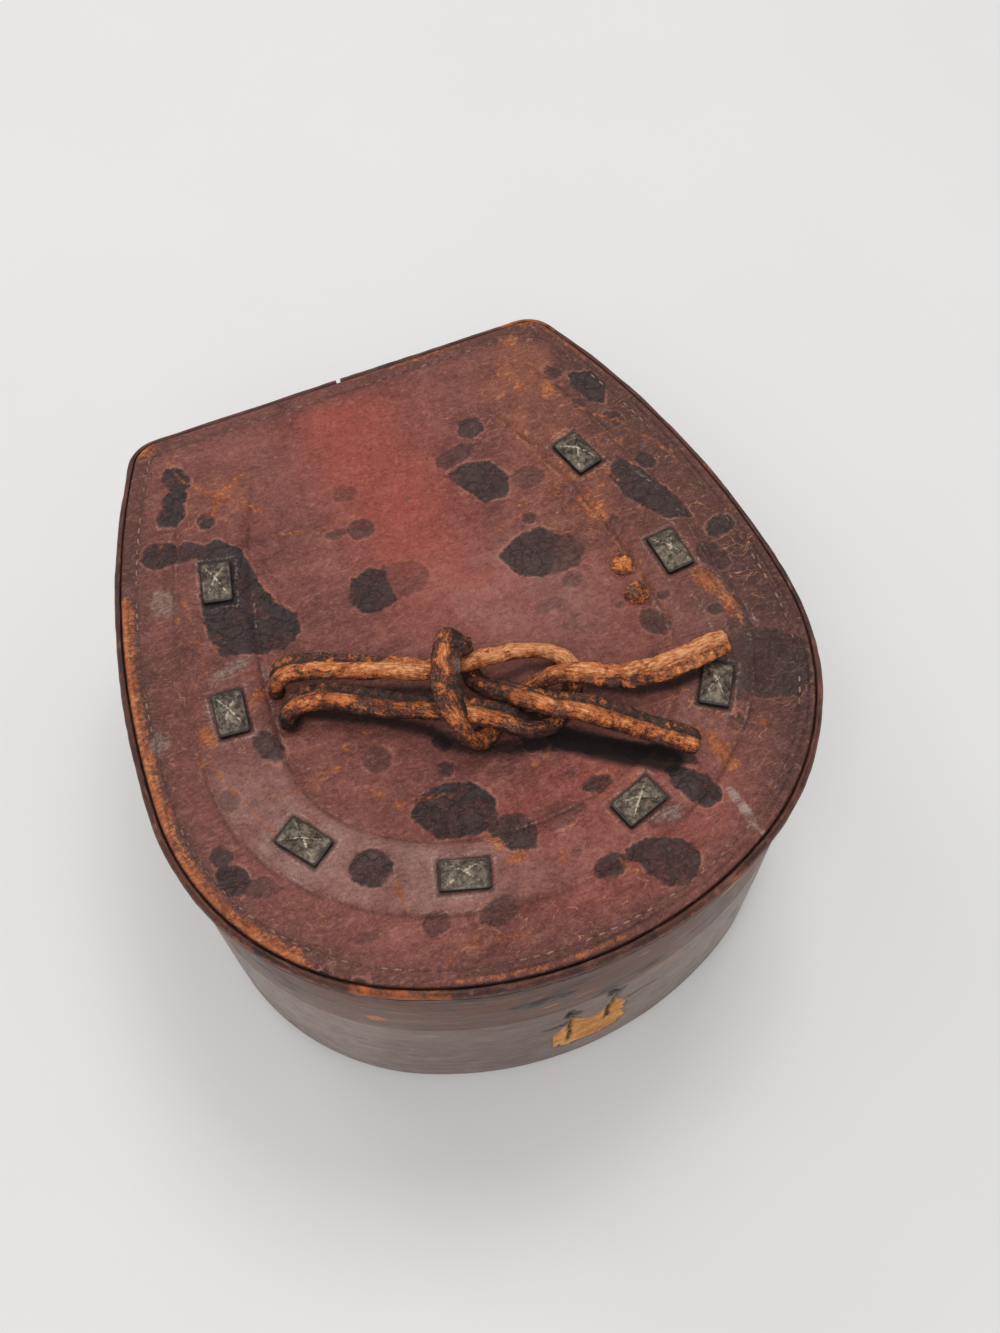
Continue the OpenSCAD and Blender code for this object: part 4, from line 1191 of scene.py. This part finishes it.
section = [(7.5, 1.25), (2.4, 1.25), (1.9, 1.4), (1.6, 1.8), (1.52, 2.4)] + wall_rows(3.2, 54.6, 0.95)
section += [(1.56, 55.2), (1.75, 55.7), (2.2, 55.95), (6.2, 55.95), (6.2, 54.85), (2.72, 54.85)]
section += [(2.72, 2.35), (7.5, 2.35)]
base_skin, x, y, z, inset, around = sweep("base_skin", section, WALL_ROUND, clasp_wall)
# Darker at the foot, and a little along the top edge.
dirt = 0.95 * ease(z - 1.2, 1.8, 0.2) + 0.2 * ease(56.0 - z, 0.9, 0.1)
fields = wall_fields(x, y, z, BASE_SPOTS, BASE_BARE, dirt)
front = (y < -60) & (inset < 3.2)
cuts = np.max([width - line_gap(x, z, cut) for width, cut in each(SLITS)], axis=0)
fields["raw"] = np.where(front, patch_depth(x, z, CLASP_PATCH), OUTSIDE)
fields["slit"] = np.where(front, cuts, OUTSIDE)
note(base_skin, **fields)
settle(base_skin, side_leather, "side_leather", "base", "base_leather")
print("walls", len(skirt.data.vertices), len(base_skin.data.vertices), "points")

# %% [markdown]
# ## The seam
# The top is sewn down by hand with waxed thread. Each stitch is its own small
# sausage of thread, and many have worn away, so the run has gaps.

# %% Stitches
rng = np.random.default_rng(7)
SAUSAGE_RINGS, SAUSAGE_SIDES = 6, 8


def stitches(name, places, ways, lift, length, thick):
    """One mesh of many stitches. Each lies along its seam and half sinks at both ends."""
    points, faces = [], []
    lift = np.array(lift)
    share = np.linspace(0, 1, SAUSAGE_RINGS)
    girth = np.sin(np.pi * np.clip(share * 0.86 + 0.07, 0, 1)) ** 0.5
    for place, way in zip(places, ways):
        across = np.cross(lift, way)
        faces += tube_faces(SAUSAGE_RINGS, SAUSAGE_SIDES, len(points))
        size = thick * rng.uniform(0.85, 1.1)
        for t, wide in zip(share, girth):
            core = place + way * (t - 0.5) * length + lift * size * (math.sin(math.pi * t) - 0.75) * 0.7
            for a in np.linspace(0, 2 * np.pi, SAUSAGE_SIDES, endpoint=False):
                offset = across * math.cos(a) * 0.62 + lift * math.sin(a) * 0.45
                points.append(core + offset * size * wide)
    return new_piece(name, points, faces)


SEAM_INSET, STITCH_PITCH = 6.15, 3.3
seam_count = int(rim_line(400)[2][-1] / STITCH_PITCH)
line, out, run = rim_line(seam_count)
kept = hills(run, 0 * run, 30, 31) + 0.5 * rng.uniform(-1, 1, seam_count) > -0.55
tilt = rng.uniform(-0.12, 0.12, seam_count)[:, None]
places = np.column_stack([line - out * SEAM_INSET, np.full(seam_count, LID_Z - 0.2)])[kept]
ways = np.column_stack([out[:, 1], -out[:, 0]]) + out * tilt
ways = np.column_stack([ways, np.zeros(seam_count)])[kept]
seam = stitches("lid_seam_stitches", places, ways, (0.0, 0.0, 1.0), 2.1, 0.46)
settle(seam, linen_thread, "thread", "lid", "lid_seam_thread")
print("stitches kept", len(places), "of", seam_count)

# %% [markdown]
# ## The studs
# Each of the eight studs is an oblong pyramid. A grid of points takes its height from
# the nearest of the four slopes, softened where they meet, which gives the worn hips
# that the real ones have.

# %% Studs
STUD_EDGE, STUD_PEAK, STUD_NX, STUD_NY = 0.8, 3.0, 27, 19


def stud_points(seed):
    """One stud's points in its own frame: a narrow ledge and four worn slopes."""
    u, v = np.meshgrid(np.linspace(-1, 1, STUD_NX), np.linspace(-1, 1, STUD_NY), indexing="ij")
    slopes = np.stack([1 - u, 1 + u, 1 - v, 1 + v])
    climb = -np.log(np.exp(-slopes * 14).sum(0)) / 14
    climb = np.clip(climb - 0.06, 0, 0.92) / 0.92
    worn = 0.1 * hills(u * 6, v * 4, 2.2, seed) + 0.05 * hills(u * 6, v * 4, 0.8, seed + 3)
    height = STUD_EDGE + (STUD_PEAK - STUD_EDGE) * climb + worn * ease(climb, 0, 0.2)
    shrink = 1 - 0.035 * ease(np.hypot(np.abs(u) ** 8, np.abs(v) ** 8), 0.9, 1.4)
    ridge = 1 - np.abs(slopes[:2].min(0) - slopes[2:].min(0)) * 4
    crown = np.clip(0.25 * climb + 0.75 * ridge * ease(climb, 0.02, 0.15), 0, 1)
    crown = crown - 0.3 * ease(climb, 0.06, 0)
    return [g.ravel() for g in (u * STUD_LENGTH / 2 * shrink, v * STUD_WIDTH / 2 * shrink, height, crown)]


index = np.arange(STUD_NX * STUD_NY).reshape(STUD_NX, STUD_NY)
edge = np.concatenate([index[:-1, 0], index[-1, :-1], index[:0:-1, -1], index[0, :0:-1]])
points, faces, crowns = [], [], []
for k, (sx, sy, turn) in enumerate(studs):
    u, v, h, crown = stud_points(40 + 5 * k)
    u, v = np.append(u, u[edge]), np.append(v, v[edge])
    h = np.append(h, np.full(len(edge), -0.25))
    lean, swing = 0.03 * math.sin(k * 2.4), turn + 0.04 * math.sin(k * 1.7)
    c, s = math.cos(swing), math.sin(swing)
    start, wall = len(points), len(points) + index.size
    points += np.column_stack(
        [sx + u * c - v * s, sy + WIDEST_Y + u * s + v * c, LID_Z + SHOE_RISE + h + lean * v * 0.4]
    ).tolist()
    crowns += crown.tolist() + [-0.4] * len(edge)
    faces += grid_faces(STUD_NX, STUD_NY, start, around=False)
    faces += belt_faces(start + edge, range(wall, wall + len(edge)))
    faces.append([wall + i for i in range(len(edge))])
stud_set = new_piece("stud_set", points, faces)
note(stud_set, crown=crowns)
stud_set.data.set_sharp_from_angle(angle=math.radians(50))
settle(stud_set, stud_metal, "stud_metal", "lid", "horseshoe_studs")

# %% [markdown]
# ## The knotted thong
# Two strands of rolled leather come up through the lid on the left and knot in the
# middle. Their other ends tore out of the right-hand holes and lie loose on the lid.
# Each strand is a stiff roll with a stitched flange, swept along a given route, the same
# route as in the CAD source. It is a worn handle and no free cord. Each point of a route
# has a place, how far the flange reaches there and how bright it is.

# %% Strands
LEFT_ROUTE = [
    (-46.5, 3, -6.6, 2.2, 0), (-46.5, 3, -1, 2.4, -0.2), (-46.3, 3.4, 3, 3.2, 0.05),
    (-43.5, 3.8, 6, 4.2, 0.05), (-37, 2, 7, 4.2, 0), (-29.5, -1.5, 7.5, 3.8, 0.05),
    (-20, -5.5, 7.5, 3.4, 0.25), (-13, -9, 7.5, 3, 0.25), (-6.5, -11, 7.5, 2.6, 0),
    (-0.5, -11.5, 7, 2.4, 0.3), (7, -11.5, 5.5, 2.5, 0.35), (14, -12.5, 3.8, 2, 0.3),
    (19.5, -15, 2.6, 2.1, 0.35), (22, -19, 2.4, 2.3, 0.3), (20.8, -24.5, 2.4, 2.6, -0.1),
    (16.5, -29, 2.4, 3, -0.3), (11, -31.8, 2.6, 3.8, -0.3), (5.5, -31.8, 4.8, 4.4, -0.25),
    (0, -28.3, 7.3, 4.2, -0.1), (-5.5, -24.5, 7.5, 3.6, 0.15), (-9.5, -22, 7.5, 3.2, 0),
    (-15, -19, 7, 3.6, -0.05), (-23.5, -14.5, 6.5, 4, -0.2), (-31.5, -9.5, 6.5, 4.2, -0.15),
    (-38.5, -5.8, 6.2, 4, 0.1), (-43.5, -5, 5, 3.2, -0.05), (-46.2, -5.8, 2.5, 2.6, -0.3),
    (-46.5, -6, -1, 2.2, -0.5), (-46.5, -6, -6.6, 2.2, -0.5),
]
RIGHT_ROUTE = [
    (59.5, -29, 5, 3.6, 0.25), (54.5, -29, 5.2, 4, 0.35), (46.5, -29.5, 5.4, 4.2, 0.35),
    (38, -29.5, 5.8, 4.2, 0.3), (29, -28, 7, 3.6, 0.05), (22.5, -24.5, 7.6, 2.8, 0.15),
    (16.5, -22, 6.2, 2.4, 0), (11, -21.5, 3.4, 2.4, -0.1), (5.5, -23, 2.4, 2.6, -0.2),
    (-0.5, -26.4, 2.3, 3, -0.2), (-5.5, -29.6, 3.2, 3.2, 0), (-9, -30.4, 7.6, 3.6, 0.05),
    (-10, -27.5, 12, 4.2, -0.05), (-10.3, -22.5, 12.6, 4.4, -0.2), (-9.5, -17.5, 12.6, 4.4, -0.15),
    (-7.5, -12, 12.6, 4.2, 0), (-4.8, -6.4, 11.6, 3.6, -0.2), (-2.4, -3.6, 7.2, 3, -0.3),
    (-1, -4.6, 3.2, 2.6, -0.4), (-1, -9, 2.4, 2.6, -0.4), (-1.5, -13.5, 2.8, 2.8, -0.35),
    (-0.5, -17.5, 5, 3, -0.3), (2.5, -21.5, 7.4, 3.2, -0.2), (7, -25.5, 8, 3.2, -0.05),
    (12.5, -30, 7.8, 3.6, 0.05), (18.5, -33.5, 7.2, 4.2, 0.1), (26.5, -39.5, 6, 4.3, -0.05),
    (34, -46, 5, 4.2, -0.05), (38, -49, 4.4, 4, 0), (41, -51.5, 4, 3.4, -0.2),
]
ROLL_R, ROLL_SHIFT, FULL_ROLL, FLANGE_HALF = 2.15, -0.8, 2.3, 0.95
SECTION_SIDES, STRAND_STEP, HOLE_PITCH = 34, 0.4, 3.1


def smooth_route(route, step):
    """A Catmull-Rom curve through the route, cut into even steps."""
    p = np.array(route, float)
    p = np.vstack([2 * p[0] - p[1], p, 2 * p[-1] - p[-2]])
    t = np.linspace(0, 1, 24, endpoint=False)[:, None]
    parts = []
    for a, b, c, d in zip(p, p[1:], p[2:], p[3:]):
        bent = (2 * a - 5 * b + 4 * c - d) * t**2 + (3 * b - a - 3 * c + d) * t**3
        parts.append(0.5 * (2 * b + (c - a) * t + bent))
    line = np.vstack(parts + [p[-2:-1]])
    run = np.append(0, np.cumsum(np.linalg.norm(np.diff(line[:, :3], axis=0), axis=1)))
    want = np.linspace(0, run[-1], int(run[-1] / step) + 1)
    return np.column_stack([np.interp(want, run, column) for column in line.T]), want


def carried_frame(line, first_side):
    """The side and up directions along a line. The strand's flat settles level where it can."""
    way = np.gradient(line, axis=0)
    way /= np.linalg.norm(way, axis=1)[:, None]
    side = np.empty_like(way)
    now = np.array(first_side, float)
    for i, direction in enumerate(way):
        now = now - direction * now.dot(direction)
        now /= np.linalg.norm(now)
        level = np.array([direction[1], -direction[0], 0.0])
        flatness = np.linalg.norm(level)
        if flatness > 0.4:
            level /= flatness
            now = now + 0.09 * flatness * (level if level.dot(now) >= 0 else -level)
            now /= np.linalg.norm(now)
        side[i] = now
    return side, np.cross(way, side)


def strand_section(angle, reach):
    """How far the skin lies from the core: a round roll with a thin flange on its right."""
    c, s = np.cos(angle), np.sin(angle)
    roll_r = ROLL_R * np.minimum(reach / FULL_ROLL, 1)
    shift = ROLL_SHIFT * ease(reach, FULL_ROLL, 3.6)
    roll = shift * c + np.sqrt(roll_r**2 - (shift * s) ** 2)
    flange = (np.maximum(c, 0.02) / reach) ** 4 + (np.abs(s) / FLANGE_HALF) ** 4
    return np.maximum(roll, np.where(c > 0, flange**-0.25, 0))


def strand(name, route, flange_side, seed, node):
    """A thong strand. flange_side(share) runs from -1 to 1, and near 0 the strand is folded flat."""
    track, run = smooth_route(route, STRAND_STEP)
    line, reach, tone = track[:, None, :3], track[:, 3:4], track[:, 4:]
    side, lift = (way[:, None] for way in carried_frame(track[:, :3], (0, 1, 0)))
    facing = flange_side(run / run[-1])[:, None]
    a, s = np.meshgrid(np.linspace(0, 2 * np.pi, SECTION_SIDES, endpoint=False), run, indexing="xy")
    share = (facing + 1) / 2
    radius = strand_section(a, reach) * share + strand_section(np.pi - a, reach) * (1 - share)
    u, v = s + 1.4 * np.cos(a), 2.4 * np.sin(a)
    radius = radius * (1 + 0.07 * hills(u, v, 5.5, seed) + 0.05 * hills(u, v, 1.8, seed + 1))
    crease = 1 - ease(np.abs(hills(u, 0.5 * v, 2.6, seed + 2)), 0.0, 0.2)
    radius = radius - 0.22 * crease
    outward = radius * np.cos(a) * np.sign(facing + 1e-6)
    sewn = (np.abs(facing) > 0.85) * ease(reach, 3.0, 3.6)
    pitch = np.abs((s / HOLE_PITCH) % 1 - 0.5) * HOLE_PITCH
    hole = ease(np.hypot(pitch, outward - 2.95), 0.95, 0.45) * sewn
    groove = ease(np.abs(outward - 1.8), 0.6, 0.15) * sewn
    radius = radius - 0.3 * hole - 0.18 * groove
    left = run[-1] - run
    taper = (ease(run, -0.4, 0.9) * ease(left, -0.4, 0.9))[:, None]
    torn = ((route[0][2] > 0) * ease(run, 3, 0) + (route[-1][2] > 0) * ease(left, 3, 0))[:, None]
    radius = radius * (0.55 + 0.45 * taper) * (1 - 0.16 * torn * (hills(3 * u, 3 * v, 2, seed + 5) + 0.6))
    points = line + side * (radius * np.cos(a))[..., None] + lift * (radius * np.sin(a))[..., None]
    points[..., 2] += LID_Z
    # top is how far each point faces up. It makes the upper side lighter and the underside darker, a painted
    # highlight and shade.
    top = np.sin(a) * lift[..., 2] + np.cos(a) * side[..., 2]
    crown = 0.22 + tone + 0.38 * top - 0.45 * groove - 0.1 * crease
    crown = crown - 0.05 * sewn * ease(outward, 2.0, 2.6)
    piece = new_piece(name, points.reshape(-1, 3), tube_faces(len(run), SECTION_SIDES))
    note(piece, crown=crown, hole=hole, run=s, turn=2.4 * np.abs(a - np.pi))
    settle(piece, thong_leather, "thong_leather", "lid", node)
    print(name, round(run[-1], 1), "mm long", len(piece.data.vertices), "points")


def left_side(t):
    """The left strand turns its flange over where it doubles back."""
    return np.where(t < 0.5, 1.0, -1.0) * ease(np.abs(t - 0.47), 0.01, 0.06)


def right_side(t):
    """The right strand turns its flange over in the band of the knot."""
    return np.where(t < 0.45, -1.0, 1.0) * ease(np.abs(t - 0.45), 0.07, 0.13)


strand("thong_strand_left", LEFT_ROUTE, left_side, 51, "thong_left")
strand("thong_strand_right", RIGHT_ROUTE, right_side, 61, "thong_right")

# %% [markdown]
# ## Torn stubs and a nub of thong
# What is left of the thong in the right-hand holes is a rust-orange plug in each, torn
# off just above the skin. A dark end of the roll also sticks out at the top of the knot.

# %% Stubs and nub
LUMP_SIDES, LUMP_RINGS = 28, 18


def lumps(name, things, *nodes):
    """Torn lumps of leather in one piece, each a ball of rings pushed about by noise."""
    points, faces, crowns = [], [], []
    sides = np.linspace(0, 2 * np.pi, LUMP_SIDES, endpoint=False)
    turn, rise = np.meshgrid(sides, np.linspace(-1.45, 1.45, LUMP_RINGS), indexing="xy")
    x, y = np.cos(turn), np.sin(turn)
    for place, size, seed, rough, tone in things:
        push = 1 + rough * hills(x * 3, y * 3 + rise * 2, 1.1, seed)
        push = push + 0.5 * rough * hills(turn * 3, rise * 4, 0.9, seed + 1)
        ball = np.stack([x * np.cos(rise), y * np.cos(rise), np.sin(rise)], -1) * push[..., None]
        faces += tube_faces(LUMP_RINGS, LUMP_SIDES, len(points))
        points += (ball * size + place).reshape(-1, 3).tolist()
        crowns += (tone + 0.2 * hills(turn * 2, rise * 2, 0.9, seed + 2)).ravel().tolist()
    piece = new_piece(name, points, faces)
    x, y, z = np.array(points).T
    note(piece, crown=crowns, run=2 * x, turn=y + z)
    settle(piece, thong_leather, "thong_leather", "lid", *nodes)


STUBS = [
    ((46.5, 3, 93.9), (2.9, 2.9, 1.5), 71, 0.14, 0.55),
    ((46.5, -6, 93.9), (3.1, 3.0, 1.4), 75, 0.18, 0.45),
]
lumps("thong_torn_stubs", STUBS, "thong_stubs")
lumps("thong_nub", [((-2.6, -9.2, 105.9), (3.3, 2.2, 2.3), 81, 0.2, 0.16)])

# %% [markdown]
# ## The hinge
# The photograph does not show the back. Boxes of this kind hinge on one strip of
# leather that is glued and sewn across the joint, so one strip stands for both flaps
# of the CAD model and runs from the base to the lid, thinner along the fold.

# %% Hinge strip
HINGE_HALF, HINGE_LOW, HINGE_HIGH, AXIS_Z, CORNER = 46.0, 32.1, 80.1, 56.1, 5.0
HINGE_FRONT, HINGE_BACK = HEEL_Y - 1.46, HEEL_Y - 0.02
wide, tall = 110, 72
u, v = np.meshgrid(np.linspace(-1, 1, wide), np.linspace(0, 1, tall), indexing="xy")
x = u * HINGE_HALF
z = HINGE_LOW + v * (HINGE_HIGH - HINGE_LOW)
near_end = np.maximum(np.abs(x) - (HINGE_HALF - CORNER), 0)
pull = CORNER - np.sqrt(np.maximum(CORNER**2 - near_end**2, 0))
z = z + pull * np.where(v < 0.5, ease(0.5 - v, 0.1, 0.5), -ease(v - 0.5, 0.1, 0.5))
inward = np.minimum(HINGE_HALF - np.abs(x), np.minimum(z - HINGE_LOW, HINGE_HIGH - z) - pull)
fold = ease(np.abs(z - AXIS_Z), 2.4, 0.4)
thin = 0.5 * ease(inward, 1.0, 0.0) + 0.07 * (1 + hills(x, z, 7, 91)) + 0.45 * fold
points = np.stack([[x, HINGE_BACK - thin, z], [x, 0 * x + HINGE_FRONT, z]]).transpose(0, 2, 3, 1)
index = np.arange(tall * wide).reshape(tall, wide)
border = np.concatenate([index[0, :-1], index[:-1, -1], index[-1, :0:-1], index[:0:-1, 0]])
faces = grid_faces(tall, wide, around=False) + grid_faces(tall, wide, index.size, around=False)
faces += belt_faces(border, border + index.size)
hinge = new_piece("hinge_strip", points.reshape(-1, 3), faces)
wear = 1.2 * fold - 1.0 + 0.6 * hills(x, z, 9, 93) + 0.5 * ease(inward, 1.2, 0.2)
note(hinge, wear=[wear, np.full(wear.shape, -3)], run=[x, x], level=[z, z])
dress(hinge, edge_leather)
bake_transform(hinge)
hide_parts("hinge_base_flap", "hinge_lid_flap")

SEW_IN, SEW_PITCH = 3.0, 3.2
sew_x, sew_y = HINGE_HALF - SEW_IN, HINGE_BACK - 0.34
for body, height, up in (("base", AXIS_Z - 4 - HINGE_LOW, 1), ("lid", HINGE_HIGH - AXIS_Z - 4, -1)):
    level = HINGE_LOW + SEW_IN if up > 0 else HINGE_HIGH - SEW_IN
    across = [[(k + 0.5) * SEW_PITCH - sew_x, sew_y, level] for k in range(int(2 * sew_x / SEW_PITCH))]
    rises = [up * k * SEW_PITCH for k in range(1, int((height - SEW_IN) / SEW_PITCH))]
    along = [[side * sew_x, sew_y, level + rise] for rise in rises for side in (-1, 1)]
    ways = np.array([[1.0, 0.0, 0.0]] * len(across) + [[0.0, 0.0, 1.0]] * len(along))
    sewing = stitches("hinge_stitches_" + body, np.array(across + along), ways, (0.0, 1.0, 0.0), 2.4, 0.55)
    settle(sewing, linen_thread, "thread", body)

# %% [markdown]
# ## Inside the box
# The inside is guessed from boxes of this kind. A card collar stands up inside the base
# and locates the lid. Cloth is glued over the collar, the floor, the skirt and the
# ceiling, and a thin pad of wadding lies over the ceiling card.


# %% Linings and wadding
def lining_strip(name, inset, thick, low, high, node, body, seed):
    """A strip of cloth glued round a wall, a little loose."""
    heights = np.linspace(low, high, 26)
    section = [(inset, h) for h in heights] + [(inset + thick, h) for h in heights[::-1]]

    def loose(i, z, around):
        wave = 0.1 * hills(around, z, 13, seed) + 0.06 * hills(around, z, 4, seed + 1)
        return i + (i > inset + thick / 2) * (0.14 + wave), z

    piece = sweep(name, section, 520, loose)[0]
    settle(piece, lining_cloth, "lining_cloth", body, node)


def cloth_panel(name, inset, shown, hidden, node, body, seed):
    """A panel of cloth glued flat on a card, with small bubbles."""
    up = 1 if shown > hidden else -1

    def bubbled(x, y, inward):
        bubble = 0.05 * (hills(x, y, 11, seed) + hills(x, y, 3.5, seed + 1)) * ease(inward, 0, 0.1)
        return shown - up * 0.12 + up * bubble, 0 * x + hidden

    piece = slab(name, inset, 420, 60, bubbled)
    settle(piece, lining_cloth, "lining_cloth", body, node)


def padding(x, y, inward):
    """The two faces of the wadding, full in the middle and thin at the edge."""
    full = ease(inward, -0.02, 0.09)
    lumpy = 0.25 * hills(x, y, 14, 121) + 0.15 * hills(x, y, 5, 122)
    return WAD_Z + (1.15 + 0.6 * lumpy) * full, WAD_Z - (1.4 + 0.2 * lumpy) * full


WAD_Z = 88.2
lining_strip("base_lining_strip", 8.2, 0.6, 6.45, 71.95, "base_wall_lining", "base", 101)
lining_strip("skirt_lining_strip", 5.1, 0.45, 56.3, 84.95, "lid_skirt_lining", "lid", 105)
cloth_panel("base_floor_panel", 8.3, 6.4, 5.45, "base_floor_card", "base", 111)
cloth_panel("lid_ceiling_panel", 5.15, 85.02, 85.55, "lid_ceiling_lining", "lid", 115)
wad = slab("wadding_pad", 6.4, 260, 40, padding)
settle(wad, wadding_fluff, "wadding", "lid", "lid_wadding")

# %% [markdown]
# ## Parts that keep their CAD shape
# Boards, the collar, the sole and the washers are plain cut sheets, so the CAD solids
# stay and only take the finish of their slot.

# %% Finishes for the CAD nodes
CARRIED = {name: pasteboard for name in (
    "base_board", "base_wall_board", "base_collar", "lid_board", "lid_skirt_board", "horseshoe_form",
    "lid_ceiling_card",
)}
CARRIED.update(base_sole=sole_leather, thong_washers=thong_leather)
for node, material in CARRIED.items():
    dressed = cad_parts[node]
    for place in dressed.material_slots:
        place.material = material
    if not dressed.material_slots:
        dressed.data.materials.append(material)

# %% [markdown]
# ## Finish
# The box of the finished model must match the box of the CAD model, so both are kept.

# %% Finish
bpy.context.view_layer.update()
